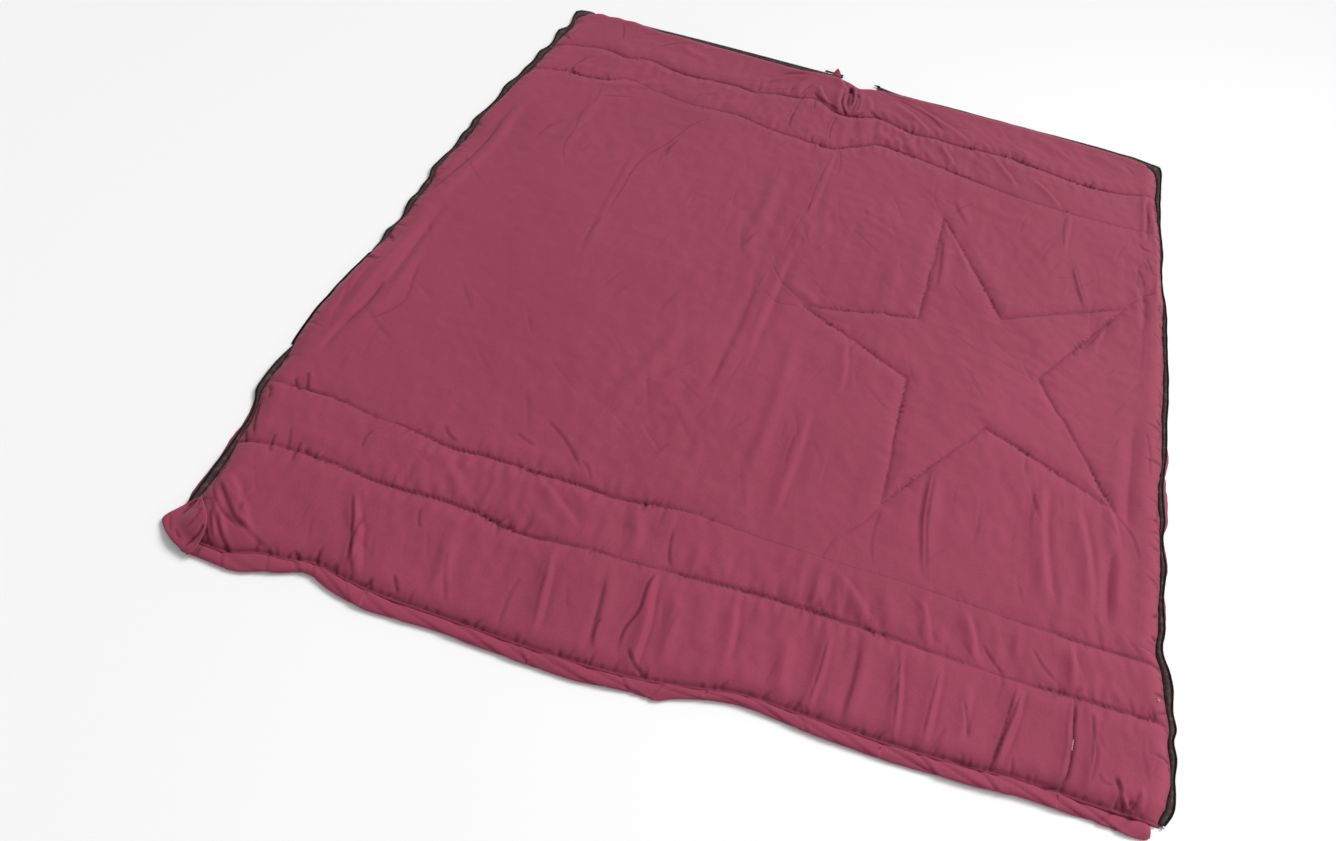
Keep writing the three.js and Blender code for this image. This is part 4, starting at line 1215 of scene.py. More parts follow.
def make_shell():
    """One sheet under the quilt that shows past it along the sides, drawn up a little at the seams."""
    y = TOP[..., 1]
    left = smooth_curve(SHELL_LEFT, PATTERN_Y) * smoothstep(1 - (PATTERN_X + HALF_WIDTH) / 0.03)
    right = smooth_curve(SHELL_RIGHT, PATTERN_Y) * smoothstep(1 - (HALF_WIDTH - PATTERN_X) / 0.03)
    x = TOP[..., 0] - left + right
    y = y - 2 * MM * smoothstep(1 - (FOOT_SEAM - PATTERN_Y) / 0.02)
    seam = np.zeros(x.shape)
    for name in ROWS:
        seam = np.maximum(seam, row_depth(name, x) * np.exp(-((y - row_line(name, x)) / (5 * MM)) ** 2))
    away, _ = star_distance(x, y)
    seam = np.maximum(seam, 0.6 * np.exp(-((away / (4 * MM)) ** 2)))
    wrinkle = 0.16 * MM * (1 + value_noise(x, y, 0.06, 71)) + 0.1 * MM * (1 + value_noise(x, y, 0.02, 72))
    low = np.stack([x, y, 0.05 * MM + 0.8 * MM * seam + wrinkle], -1)
    high = low.copy()
    high[..., 2] = low[..., 2] + FABRIC
    shell = slab("outer_shell", high[::2, ::2], low[::2, ::2], SHELL)
    # Painted shade along the seams drawn into the shell.
    paint_shade(shell, np.tile((0.6 * seam**4)[::2, ::2].ravel(), 2))
    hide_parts("shell_right", "shell_left")
    bend_over_fold(shell)


make_shell()


# ---- Rolled hem at the head end ----
HEM_DEPTH = pairs(
    -700, 18, -650, 17, -620, 18, -583, 26, -547, 19, -505, 14, -470, 19, -400, 22, -300, 19, -200, 19,
    -100, 21, -20, 17, 12, 21, 30, 16, 100, 12, 200, 16, 400, 19, 550, 18, 620, 18, 660, 21, 700, 21,
)
# Creases in the hem: x, how far it slants, depth as a share, width. All but the share are in millimetres.
# Short nips across it come first, then long ones where the roll twists.
HEM_NIPS = [
    (-618, 5, 0.12, 3), (-558, 4, 0.12, 3), (-520, 6, 0.2, 4), (-497, 4, 0.12, 3), (-440, 9, 0.1, 4),
    (-182, 9, 0.12, 4), (-37, 7, 0.18, 4), (8, -5, 0.18, 3), (206, 7, 0.08, 4), (376, 12, 0.22, 5),
    (458, 10, 0.2, 5), (628, -9, 0.22, 4), (655, -10, 0.2, 4), (-600, 24, 0.14, 10), (-470, 30, 0.18, 12),
    (-400, 26, 0.14, 10), (-335, 34, 0.16, 12), (-250, 30, 0.18, 11), (-190, 24, 0.14, 9),
    (-125, 38, 0.2, 12), (-55, 32, 0.2, 11), (30, 30, 0.18, 11), (85, 36, 0.14, 11), (150, 28, 0.2, 11),
    (215, 34, 0.16, 12), (270, 26, 0.16, 10), (345, 34, 0.22, 12), (415, 28, 0.2, 10), (500, 34, 0.22, 12),
    (560, 28, 0.18, 11), (610, 24, 0.22, 10),
]


def make_hem():
    """A soft bead that wraps the head seam, with slanting twist wrinkles that carry painted shade."""
    steps, sides = 620, 26
    across = np.linspace(-HALF_WIDTH + 16 * MM, HALF_WIDTH - 8 * MM, steps)
    column = ((across + HALF_WIDTH) / ACROSS_STEP).astype(int)
    seam = TOP[0, np.clip(column, 0, COLUMNS - 1)]
    depth = smooth_curve(HEM_DEPTH, across)
    ends = smoothstep((across + HALF_WIDTH - 12 * MM) / 0.014)
    ends = ends * (0.45 + 0.55 * smoothstep((HALF_WIDTH - 6 * MM - across) / 0.010))
    turn = np.linspace(0, 2 * math.pi, sides, endpoint=False)
    ring, run = np.meshgrid(turn, across)
    swell = 1 + 0.07 * value_noise(0.3 * run + 0.010 * ring, ring * 0.012, 0.014, 81)
    swell = swell + 0.08 * value_noise(0.35 * run - 0.016 * ring, 0.2 * run, 0.018, 86)
    swell = swell + 0.09 * value_noise(run, ring * 0 + 0.3, 0.06, 82)
    painted_shade = 0 * run
    for place, slant, share, width in HEM_NIPS:
        lean = place / 1000 + slant * MM * (ring - math.pi / 2)
        # Painted shade in each nip, on the side of the roll that faces up.
        showing = np.exp(-(((ring - 1.6) / 1.2) ** 2))
        painted_shade = painted_shade + 2.6 * share * showing * np.exp(-np.abs((run - lean) / (0.35 * width * MM)))
        swell = swell - 0.7 * share * np.exp(-(np.abs((run - lean) / (width * 0.6 * MM)) ** 1.5))
        swell = swell + 0.3 * share * np.exp(-(((run - lean) / (width * MM) - 1.6) ** 2))
    half = (depth[:, None] / 2 + 1.5 * MM) * swell * (0.35 + 0.65 * ends[:, None])
    tall = (4.4 * MM + 0.8 * MM * wave_noise(across, 0.06, 83))[:, None] * swell
    tall = tall * (0.45 + 0.55 * ends[:, None])
    middle_y = seam[:, 1] - depth / 2 + MM
    x = seam[:, 0][:, None] + 0 * ring
    y = middle_y[:, None] + half * np.cos(ring)
    z = np.maximum(tall * (1 + np.sin(ring)), 0.25 * MM)
    hem = mesh_object("head_hem", np.stack([x, y, z], -1), tube_faces(steps, sides), HEM)
    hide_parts("head_hem_right", "head_hem_left")
    paint_shade(hem, np.clip(painted_shade, 0, 1))
    bend_over_fold(hem)


make_hem()

# ---- Zip ----
ZIP_STEP = 4 * MM
# Where the coil lies, from the head end along the side, as (y, x) points.
RIGHT_COIL = pairs(
    -742, 692.5, -734, 698, -719, 705.5, -694, 708.5, -676, 707.5, -645, 710.5, -619, 706.5, -603, 710.5,
    -580, 706.5, -536, 706.5, -513, 701.5, -497, 694.5, -474, 691.5, -449, 695.5, -407, 693.5, -379, 694.5,
    -352, 697.5, -327, 698.5, -302, 694.5, -276, 693.5, -253, 696.5, -203, 694.5, -170, 694.5, -146, 696.5,
    -109, 700.5, -73, 701.5, -16, 702.5, 25, 705, 62, 705.5, 101, 704.5, 167, 703.5, 237, 703.5, 273, 702.5,
    316, 697.5, 369, 695.5, 426, 697.5, 466, 695.5, 524, 692.5, 594, 692.5, 659, 694.5, 716, 694.5,
    728, 692.5,
)
LEFT_COIL = pairs(
    -747, -710.8, -700, -714, -640, -715, -600, -715.5, -565, -717, -540, -718.5, -512, -726.5,
    -489, -737.5, -470, -740.5, -440, -740.5, -400, -736.5, -370, -733, -320, -733, -250, -730, -200, -726,
    -160, -722.5, -146, -726, -111, -724, -86, -727.5, -66, -723, -43, -720, -18, -725.5, 6, -728, 33, -725,
    47, -726, 75, -725, 98, -731.5, 125, -730, 147, -728, 167, -724, 195, -723, 224, -726, 250, -721,
    270, -725, 318, -718, 356, -713, 382, -713, 406, -716, 427, -713, 449, -704.5, 483, -703, 519, -698,
    559, -698, 584, -689.5, 616, -688.5, 644, -692.5, 663, -691.5, 675, -681.5, 700, -678.5, 722, -683.5,
    746, -686,
)
# The same along the foot end: x, and how many millimetres the coil stays short of the straight zip line.
RIGHT_FOOT = pairs(
    35, 0, 80, 10.5, 200, 12, 400, 15, 600, 19.5, 640, 22.5, 680, 30, second=1,
)
LEFT_FOOT = pairs(
    -690, 7, -680, 4.5, -667, 1, -650, 0, -638, 7, -626, 14, -560, 13, -545, 5, -530, 1, -500, 0, -54, 0,
    second=1,
)
ZIP_CORNER = 0.018


def moving_average(path, count):
    """The average of every count neighbouring points, so the run gets count - 1 points shorter."""
    kernel = np.ones(count) / count
    return np.stack([np.convolve(path[:, k], kernel, "valid") for k in range(3)], 1)


def run_length(path):
    """The length of a run of points from its start to each of them."""
    return np.concatenate([[0], np.cumsum(np.linalg.norm(np.diff(path, axis=0), axis=1))])


def zip_path(side):
    """The coil's line from the head end, up the side, round the corner and along the foot end."""
    if side > 0:
        coil, seam, foot = RIGHT_COIL, RIGHT_SEAM, RIGHT_FOOT
    else:
        coil, seam, foot = LEFT_COIL, LEFT_SEAM, LEFT_FOOT
    y = np.arange(coil[0][0], coil[-1][0], ZIP_STEP / 2)
    x = smooth_curve(coil, y) + 0.5 * MM * wave_noise(y, 0.018, 92)
    showing = smoothstep(side * (x - smooth_curve(seam, y)) / (9 * MM)) * smoothstep((y - y[0]) / 0.05)
    z = COIL_Z + showing * 1.7 * MM * (1 + wave_noise(y, 0.035, 93))
    side_run = np.stack([x, y, z], 1)
    start_x = side_run[-1, 0] - side * ZIP_CORNER
    foot_x = np.arange(start_x, foot[0][0] if side > 0 else foot[-1][0], -side * ZIP_STEP / 2)
    short = smooth_curve(foot, foot_x)
    foot_y = FOOT_COIL_Y - short * MM + 0.3 * MM * wave_noise(foot_x, 0.02, 95)
    rise = 0.8 * MM * (side > 0) * smoothstep((foot_x - 0.06) / 0.05)
    foot_z = COIL_Z + rise * (1 + wave_noise(foot_x, 0.03, 94))
    foot_run = np.stack([foot_x, foot_y, foot_z], 1)
    a, b = side_run[-1], foot_run[0]
    corner = np.array([a[0], b[1], (a[2] + b[2]) / 2])
    t = np.linspace(0, 1, 14)[1:-1, None]
    # Two curves in one: the corner point is approached as a round bend.
    bend = (1 - t) ** 3 * a + 3 * (1 - t) ** 2 * t * (0.45 * a + 0.55 * corner)
    bend = bend + 3 * (1 - t) * t**2 * (0.45 * b + 0.55 * corner) + t**3 * b
    path = np.concatenate([side_run, bend, foot_run])
    smooth = path.copy()
    smooth[2:-2] = moving_average(path, 5)
    return smooth


def resample(path, step):
    """The same run with even steps, and each new point's distance from the start."""
    length = run_length(path)
    at = np.linspace(0, length[-1], max(2, int(round(length[-1] / step)) + 1))
    return np.stack([np.interp(at, length, path[:, k]) for k in range(3)], 1), at


def seam_edge_near(path):
    """The fabric's edge point nearest to each point of a zip path."""
    edge = np.concatenate([TOP[:, 0], TOP[-1, :], TOP[:, -1][::-1]])
    found = []
    batch = 200
    for start in range(0, len(path), batch):
        part = path[start : start + batch]
        away = np.linalg.norm(edge[None, :, :2] - part[:, None, :2], axis=2)
        found.append(edge[away.argmin(1)])
    return np.concatenate(found)


# The tape's section from under the lining out to the coil: share of the way, rise in millimetres, painted
# shade (darkest by the lining and under the coil).
TAPE_PROFILE = (
    (-0.5, -0.5, 1.0), (0.0, -0.6, 1.0), (0.12, -0.3, 0.85), (0.30, 1.2, 0.35), (0.5, 1.8, 0.05),
    (0.68, 1.4, 0.05), (0.84, 0.4, 0.45), (1.0, 0.0, 0.9),
)
OUTER_SHADE = 0.9  # painted shade of the strip past the coil
TAPE_LOW = 1.9 * MM  # height of the tape's inner edge


def make_tape(name, node, path):
    """One half's tape: it leaves the seam under the lining, bulges and ends past the coil."""
    path, _ = resample(path, ZIP_STEP)
    edge = seam_edge_near(path)
    edge = moving_average(np.pad(edge, ((3, 3), (0, 0)), mode="edge"), 7)
    outward = path - edge
    outward[:, 2] = 0
    bulge = np.clip(np.linalg.norm(outward, axis=1) / (9 * MM), 0.2, 1.2)
    outward /= np.maximum(np.linalg.norm(outward, axis=1), 1e-6)[:, None]
    levels = []
    for share, rise, _ in TAPE_PROFILE:
        point = edge + (path - edge) * max(share, 0.0) + outward * min(share, 0.0) * 12 * MM
        low = TAPE_LOW + (path[:, 2] - 1.45 * MM - TAPE_LOW) * max(share, 0.0)
        point[:, 2] = low + rise * MM * bulge
        levels.append(point)
    outer = path + outward * 1.5 * MM
    outer[:, 2] = path[:, 2] - 1.5 * MM
    top = np.stack(levels + [outer], 1)
    top[..., 2] = np.maximum(top[..., 2], 1.1 * MM)
    bottom = top.copy()
    bottom[..., 2] -= 0.75 * MM
    tape = slab(name, top, bottom, TAPE)
    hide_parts(node)
    # Painted shade for each point of the tape's section, darkest at its two edges.
    paint_shade(tape, np.tile([shade for _, _, shade in TAPE_PROFILE] + [OUTER_SHADE], len(path)))
    return tape


COIL_PITCH = 1.7 * MM
TURNS_PER_METRE = 1 / COIL_PITCH
WIRE = 0.42 * MM  # radius of the coil's monofilament
WIRE_SIDES = 5


def make_coil(name, node, path):
    """The wound monofilament, lying along the tape's outer edge."""
    fine, at = resample(path, COIL_PITCH / 8)
    _, sideways, upward = frames_along(fine)
    turn = 2 * math.pi * at * TURNS_PER_METRE
    wide, tall = 1.45 * MM - WIRE, 1.1 * MM - WIRE
    wire = fine + sideways * (wide * np.cos(turn))[:, None] + upward * (tall * np.sin(turn))[:, None]
    points = tube_points(wire, WIRE, WIRE, WIRE_SIDES)
    coil = mesh_object(name, points, tube_faces(len(wire), WIRE_SIDES), COIL)
    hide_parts(node)
    return coil


def crimp_stop(name, node, at, toward):
    """A small metal stop folded round the end of the chain."""
    along = np.linspace(-2.1 * MM, 2.1 * MM, 9)
    path = at + np.outer(along, toward)
    swell = np.sqrt(np.clip(1 - (along / (2.4 * MM)) ** 2, 0.05, 1))
    sides = 12
    points = tube_points(path, 1.9 * MM * swell, 1.5 * MM * swell, sides)
    stop = mesh_object(name, points, tube_faces(len(path), sides), NICKEL)
    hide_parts(node)
    return stop


for side, label, body in ((1, "right", "right_half"), (-1, "left", "left_half")):
    chain = zip_path(side)
    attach(make_tape("zip_tape_" + label + "_twill", "zip_tape_" + label, chain), body)
    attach(make_coil("zip_coil_" + label + "_wound", "zip_coil_" + label, chain[2:]), body)
    heading = chain[6] - chain[0]
    heading /= np.linalg.norm(heading)
    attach(crimp_stop("top_stop_" + label + "_crimp", "top_stop_" + label, chain[0], heading), body)


# ---- Stitches ----
STITCH, STITCH_GAP = 3.0 * MM, 1.0 * MM


def stitch_line(run):
    """The begins and the ends of the stitches along a run of (x, y) points."""
    length = run_length(run)
    starts = np.arange(0, length[-1] - STITCH, STITCH + STITCH_GAP)
    ends = []
    for extra in (0, STITCH):
        ends.append(np.stack([np.interp(starts + extra, length, run[:, k]) for k in range(2)], 1))
    return ends


def stitches_mesh(name, lines, material, lift=0.15 * MM, thick=0.32 * MM):
    """Thread that dips into the cloth between stitches: a small arched bead for each stitch."""
    sections, sides = 5, 5
    per = sections * sides
    t = np.linspace(0, 1, sections)
    arch = np.sin(math.pi * t) ** 0.5
    radius = (thick * (0.45 + 0.55 * arch))[None, :, None, None]
    turn = np.linspace(0, 2 * math.pi, sides, endpoint=False)[None, None, :, None]
    base, caps = tube_faces(sections, sides)
    all_points, faces, offset = [], [], 0
    for begin, end in lines:
        xy = begin[:, None] * (1 - t[None, :, None]) + end[:, None] * t[None, :, None]
        flat = xy.reshape(-1, 2)
        on, normal = on_surface(flat[:, 0], flat[:, 1])
        on, normal = on.reshape(len(begin), sections, 3), normal.reshape(len(begin), sections, 3)
        run = on[:, -1] - on[:, 0]
        run /= np.maximum(np.linalg.norm(run, axis=1), 1e-9)[:, None]
        sideways = np.cross(run[:, None], normal)
        sideways /= np.maximum(np.linalg.norm(sideways, axis=2), 1e-9)[..., None]
        centre = on + normal * (lift * arch[None, :, None] - 0.1 * MM)
        ring = np.cos(turn) * sideways[:, :, None] * radius
        ring = ring + np.sin(turn) * normal[:, :, None] * radius
        points = (centre[:, :, None] + ring).reshape(-1, 3)
        all_points.append(points)
        starts = (offset + np.arange(len(begin)) * per)[:, None, None]
        faces.append((base[None] + starts).reshape(-1, 4))
        faces.append((caps[None] + starts).reshape(-1, sides))
        offset += len(points)
    return mesh_object(name, np.concatenate(all_points), faces, material)


def make_stitching():
    """The thread of the four rows and of the star."""
    for name in ROWS:
        x = np.arange(ROW_START, ROW_END, 4 * MM)
        line = stitch_line(np.stack([x, row_line(name, x)], 1))
        stitches = stitches_mesh("stitches_" + name, [line], SEAM_THREAD_AND_SHADE)
        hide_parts("stitching_" + name + "_left", "stitching_" + name + "_right")
        bend_over_fold(stitches)
    t = np.linspace(0, 1, 40)[:, None]
    lines = [stitch_line(a * (1 - t) + b * t) for a, b in STAR_SIDES]
    star = stitches_mesh("stitches_star", lines, SEAM_THREAD_AND_SHADE)
    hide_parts("star_stitching")
    bend_over_fold(star)


make_stitching()


# ---- Inner pocket ----
def make_pocket():
    """The sewn-on patch with its open side toward the zip, its seam, and the bar tack's pale thread."""
    pocket_low, pocket_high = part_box("inner_pocket")
    cols, rows = 60, 60
    along = np.linspace(pocket_low.y - 7 * MM, pocket_high.y + 2 * MM, rows)
    height = along[-1] - along[0]
    share, v = np.meshgrid(np.linspace(0, 1, cols), along)
    down = (along[-1] - v) / height
    left = pocket_low.x + (17 - 19 * down + 1.5 * wave_noise(v, 0.03, 99)) * MM
    right = pocket_high.x - (3 + 2 * down + 11 * down**4 + 1.4 * wave_noise(v, 0.018, 96)) * MM
    x = left + (right - left) * share
    v = v + 5 * MM * share**5 * down**3 + 1.2 * MM * wave_noise(x, 0.03, 100) * down**2
    points, normal = on_surface(x.ravel(), v.ravel())
    mouth = smoothstep(1 - (right - x) / 0.020).ravel()
    rim = np.minimum(x - left, (1 - np.abs(2 * down - 1)) / 2 * height).ravel()
    flush = smoothstep(rim / 0.010)
    gape = 0.9 * MM + 1.6 * MM * np.sin(math.pi * np.clip(down, 0, 1)).ravel()
    lift = -0.15 * MM + 0.62 * MM * flush + gape * mouth
    top = (points + normal * lift[:, None]).reshape(rows, cols, 3)
    bottom = (points + normal * (lift - FABRIC * (0.3 + 0.7 * flush))[:, None]).reshape(rows, cols, 3)
    pocket = slab("inner_pocket_patch", top, bottom, LINING)
    shade_reach = 2.0 * MM
    edge_shade = np.exp(-(right - x) / shade_reach) + 0.9 * np.exp(-(1 - down) * height / shade_reach)
    paint_shade(pocket, np.clip(edge_shade * (0.75 + 0.35 * value_noise(x, v, 0.007, 41)), 0, 1))
    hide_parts("inner_pocket")
    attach(pocket, "right_half")
    edge = np.stack([x, v], -1)
    runs = [stitch_line(run) for run in (edge[:, 2], edge[3, 2:-8])]
    seams = stitches_mesh("pocket_stitches", runs, LINING, lift=0.6 * MM, thick=0.2 * MM)
    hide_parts("pocket_stitching")
    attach(seams, "right_half")
    tack_x, tack_y = pocket_high.x - 3 * MM, (pocket_low.y + pocket_high.y) / 2
    bars = []
    for k in range(12):
        y = tack_y + (k - 6) * 1.3 * MM
        x = tack_x + 1.2 * MM * math.sin(2.3 * k) + 0.12 * (y - tack_y)
        bars.append([np.array([[x, y]]), np.array([[x + 1.6 * MM * math.sin(4.1 * k), y + 2.6 * MM]])])
    # Three loose pale threads lie by the right edge, further up than the pocket.
    x, y = HALF_WIDTH - 24 * MM, tack_y + 101 * MM
    for k in range(3):
        begin = np.array([[x + k * MM, y + 0.5 * k * MM]])
        end = np.array([[x + (2 + k) * MM, y + (3 - 2 * k) * MM]])
        bars.append([begin, end])
    tack = stitches_mesh("pocket_bar_tack_thread", bars, PALE_THREAD, lift=3.0 * MM, thick=0.55 * MM)
    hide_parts("pocket_bar_tack")
    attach(tack, "right_half")


make_pocket()


# ---- Closure flap with its hook and loop patches ----
# The flap's outer and inner edges, from the corner sewn over the zip to the free tip.
FLAP_OUTER = pairs(
    -703, -690, -712, -702, -721, -716, -730, -735, -716, -751, -696, -764, -678, -772, -664, -777,
)
FLAP_INNER = pairs(
    -697, -689, -687, -699, -676, -709, -664, -722, -657, -735, -655, -748, -656, -761, -657, -773,
)
# Its pleats, written like LINES_PRESSED.
FLAP_PLEATS = [
    (2.4, 6, 1, -698, -694, -700, -705, -705, -717, -710, -728),
    (2, 3.6, -1, -703, -695, -707, -704, -710, -712), (2, 2, -1, -690, -700, -688, -710, -690, -720),
    (3, 1.8, -1, -680, -712, -678, -726, -681, -740, -688, -752),
    (2.2, 3.4, -1, -661, -735, -662, -746, -667, -759, -673, -770),
    (2.4, 1.4, -1, -722, -728, -712, -744, -700, -757), (2.2, 1.4, 1, -700, -748, -690, -757, -680, -762),
    (1.8, 1.8, 1, -666, -752, -670, -762, -674, -773),
]


# Where the quilt's side ends under the flap, and where its hem begins and ends.
QUILT_SIDE, HEM_BEGINS, QUILT_END, HEM_ENDS = -0.697, -0.742, -0.752, -0.766
HEM_TOP = 8.8 * MM


def under_flap(x, y):
    """Height of what lies under a point: the quilt, its hem, or less past their edges."""
    points, _ = on_surface(x.ravel(), np.maximum(y.ravel(), QUILT_END))
    height = points[:, 2].reshape(x.shape)
    beyond = smoothstep((QUILT_SIDE - x) / 0.014)
    past_hem = smoothstep((HEM_ENDS - y) / 0.012)
    over_hem = smoothstep((HEM_BEGINS - y) / 0.014)
    height = height + (np.maximum(height, HEM_TOP) - height) * over_hem
    return height * (1 - np.maximum(0.45 * beyond, 0.5 * past_hem))


def spread(field, reach, passes):
    """A field's high places widened by reach grid steps and then smoothed."""
    for _ in range(reach):
        wide = np.pad(field, 1, mode="edge")
        upright = np.max([wide[1:-1, 1:-1], wide[2:, 1:-1], wide[:-2, 1:-1]], 0)
        field = np.max([upright, wide[1:-1, 2:], wide[1:-1, :-2]], 0)
    for _ in range(passes):
        field = smoothed(np.pad(field, 1, mode="edge"))[1:-1, 1:-1]
    return field


def flap_grid(lift):
    """The flap's grid of points, raised by lift, and the painted shade that darkens each along its pleats."""
    rows, cols = 72, 56
    t = np.linspace(0, len(FLAP_OUTER) - 1, rows)
    outer, inner = curve_through(FLAP_OUTER, t), curve_through(FLAP_INNER, t)
    s = np.linspace(0, 1, cols)
    flat = outer[:, None] * (1 - s[None, :, None]) + inner[:, None] * s[None, :, None]
    x, y = flat[..., 0], flat[..., 1]
    width = np.linalg.norm(inner - outer, axis=1)[:, None]
    from_outer, from_inner = s * width, (1 - s) * width
    puff = 2.4 * MM * np.sin(math.pi * np.clip(t / t[-1], 0, 1))[:, None] * np.sin(math.pi * s) ** 0.6
    z = spread(np.maximum(under_flap(x, y), 4.0 * MM), 4, 60) + 2.2 * MM + puff
    z = z + 2.5 * MM * smoothstep(1 - from_inner / 0.02) * smoothstep((y + 0.775) / 0.02)
    surface, plain = [x, y, z.copy()], z
    for wide, deep, steep, *places in FLAP_PLEATS:
        add_crease(surface, wound(pairs(*places)), wide * MM, deep * MM, "line", (0.12, 0.4), steep)
    # Painted shade: darker the deeper the pleat is cut.
    painted_shade = np.clip((plain - surface[2] - 0.2 * MM) / (2.2 * MM), 0, 1)
    z = surface[2] + 0.45 * MM * value_noise(x, y, 0.010, 95) + 0.5 * MM * value_noise(x, y, 0.022, 98)
    z = z - 1.4 * MM * smoothstep(1 - from_outer / (3 * MM))
    over = np.maximum(under_flap(x, y) + 1.6 * MM, 3.0 * MM)
    return np.stack([x, y, np.maximum(z, over) + lift], -1), painted_shade


def make_flap():
    """The pleated flap as it lies closed; nothing here lets it bend at its outer edge."""
    half_cloth = 0.5 * MM
    (top, painted_shade), (bottom, _) = flap_grid(half_cloth), flap_grid(-half_cloth)
    flap = slab("closure_flap_fabric", top, bottom, HEM)
    paint_shade(flap, painted_shade)
    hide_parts("closure_flap")
    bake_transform(flap)


make_flap()


def make_patches():
    """The loop tape on the quilt and the hook tape above it, on the flap's underside."""
    low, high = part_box("loop_patch")
    inset, far_inset = 1.5 * MM, 8 * MM
    cols, rows = 30, 30
    across = np.linspace(low.x + inset, high.x - far_inset, cols)
    along = np.linspace(low.y + inset, high.y - far_inset, rows)
    u, v = np.meshgrid(across, along)
    flap, _ = flap_grid(0)
    for name, node, body, rests_on in (
        ("loop_patch_tape", "loop_patch", "left_half", "quilted_lining"),
        ("hook_patch_tape", "hook_patch", "flap", "closure_flap_fabric"),
    ):
        points, normal = on_surface(u.ravel(), v.ravel())
        if node == "loop_patch":
            top = (points + normal * 0.55 * MM).reshape(rows, cols, 3)
        else:
            away = (flap[..., 0].ravel()[None] - u.ravel()[:, None]) ** 2
            away = away + (flap[..., 1].ravel()[None] - v.ravel()[:, None]) ** 2
            z = flap[..., 2].ravel()[away.argmin(1)] - 0.6 * MM
            top = np.stack([u.ravel(), v.ravel(), z], 1).reshape(rows, cols, 3)
        top[..., 2] += 0.06 * MM * np.random.RandomState(4).uniform(-1, 1, (rows, cols))
        bottom = top - np.array([0, 0, 0.45 * MM])
        patch = slab(name, top, bottom, HOOK)
        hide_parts(node)
        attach(patch, body)


make_patches()


# ---- Folded tab that guards the zip's end at the foot ----
TAB_BASE = [(-0.068, 0.7585), (-0.048, 0.7565)]
TAB_TIP = (-0.062, 0.7815)


def make_end_tab():
    """A small peaked fold of hem cloth with its sides turned down."""
    cols, rows = 17, 15
    t, s = np.meshgrid(np.linspace(0, 1, cols), np.linspace(0, 1, rows))
    base_x, base_y = (TAB_BASE[0][k] * (1 - t) + TAB_BASE[1][k] * t for k in (0, 1))
    width = (1 - s) ** 0.85 * 0.97 + 0.03
    x = TAB_TIP[0] + (base_x - TAB_TIP[0]) * width
    y = base_y + (TAB_TIP[1] - base_y) * s - 0.010 * (1 - s) ** 6
    away = np.abs(2 * t - 1)
    z = 8.5 * MM + 3.5 * MM * np.sin(math.pi * np.clip(0.15 + 0.6 * s, 0, 1)) - 2.0 * MM * away**1.5
    z = z + 0.4 * MM * value_noise(x, y, 0.006, 97)
    top = np.stack([x, y, z], -1)
    bottom = top - np.array([0, 0, 1.3 * MM])
    tab = slab("zip_end_tab_fabric", top, bottom, HEM)
    # Painted shade: the whole tab is darkened, most at its turned-down sides and its tip.
    paint_shade(tab, np.maximum(0.45, np.maximum(smoothstep(away * 4 - 3), smoothstep(s * 5 - 4))))
    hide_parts("zip_end_tab")
    width, height = TAB_BASE[1][0] - TAB_BASE[0][0], TAB_TIP[1] - TAB_BASE[0][1] + 0.010
    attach(tab, "left_half")


make_end_tab()


# ---- Metal pieces that keep their CAD shape ----
ROUNDINGS = {"zip_slider": 0.25, "zip_puller": 0.2, "insertion_pin": 0.2, "retainer_box": 0.25}  # millimetres
for node, rounding in ROUNDINGS.items():
    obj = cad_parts[node]
    for slot in obj.material_slots:
        slot.material = LACQUER
    if not obj.material_slots:
        obj.data.materials.append(LACQUER)
    bevel = obj.modifiers.new("soft_edges", "BEVEL")
    bevel.width = rounding * MM
    bevel.segments = 2
    bevel.limit_method = "ANGLE"


# ---- Floor, light and camera ----
def make_stage():
    """A plain pale floor."""
    half = 6.0
    points = [(-half, -half, 0), (half, -half, 0), (half, half, 0), (-half, half, 0)]
    material, _, shader = new_material("studio_floor", 0.9)
    shader.inputs["Base Color"].default_value = (0.92, 0.92, 0.92, 1)
    shader.inputs["Specular IOR Level"].default_value = 0.1
    floor = mesh_object("studio_floor", points, [np.array([[0, 1, 2, 3]])], material, smooth=False)


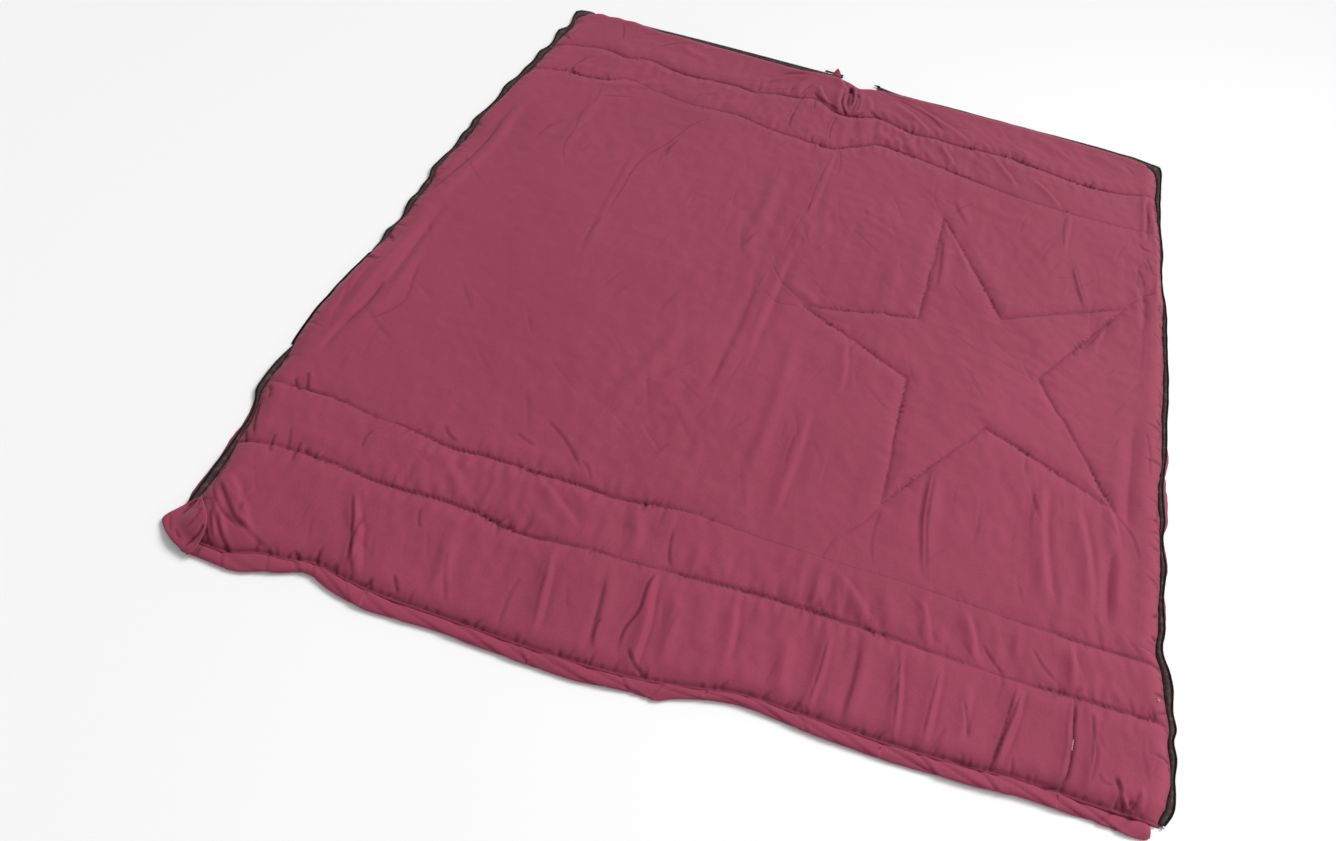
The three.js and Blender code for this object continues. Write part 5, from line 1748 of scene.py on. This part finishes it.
def add_lamp(name, kind, place, target, **settings):
    """A lamp that shines from place toward target."""
    data = bpy.data.lights.new(name, kind)
    for key, value in settings.items():
        setattr(data, key, value)
    lamp = bpy.data.objects.new(name, data)
    lamp.location = place
    lamp.rotation_euler = (Vector(target) - Vector(place)).to_track_quat("-Z", "Y").to_euler()
    bpy.context.scene.collection.objects.link(lamp)


def make_light():
    """Even white surroundings, a wide key lamp from beyond the foot end and a soft one from the right."""
    world = bpy.data.worlds.new("studio")
    bpy.context.scene.world = world
    world.use_nodes = True
    background = world.node_tree.nodes["Background"]
    background.inputs["Color"].default_value = (1, 1, 1, 1)
    background.inputs["Strength"].default_value = 0.46
    add_lamp("key", "SUN", (1.5, 1.8, 2.0), (0, 0, 0), energy=2.4, angle=math.radians(26))
    add_lamp("side", "AREA", (1.7, -0.3, 1.3), (0.5, -0.2, 0), energy=11, size=1.5)


AZIMUTH, ELEVATION, ROLL = 6.1, 51.6, 11.1  # degrees, the azimuth from -Y toward +X
TARGET, DISTANCE = (0.008, -0.277, 0.0), 1.616
SENSOR, LENS, SHIFT_X = 36.0, 26.46, -0.0614


def make_camera():
    """The camera at the photo's viewing angle."""
    az, el, roll = (math.radians(angle) for angle in (AZIMUTH, ELEVATION, ROLL))
    back = Vector((math.sin(az) * math.cos(el), -math.cos(az) * math.cos(el), math.sin(el)))
    right = Vector((0, 0, 1)).cross(back).normalized()
    up = back.cross(right)
    rolled_right = math.cos(roll) * right + math.sin(roll) * up
    rolled_up = -math.sin(roll) * right + math.cos(roll) * up
    data = bpy.data.cameras.new("camera")
    data.sensor_width = SENSOR
    data.lens = LENS
    data.shift_x = SHIFT_X
    data.clip_end = 50
    camera = bpy.data.objects.new("camera", data)
    turn = Matrix((rolled_right, rolled_up, back)).transposed().to_4x4()
    place = Vector(TARGET) + DISTANCE * back
    camera.matrix_world = Matrix.Translation(place) @ turn
    bpy.context.scene.collection.objects.link(camera)
    bpy.context.scene.camera = camera


make_stage()
make_light()
make_camera()
bpy.context.scene.view_settings.view_transform = "Standard"
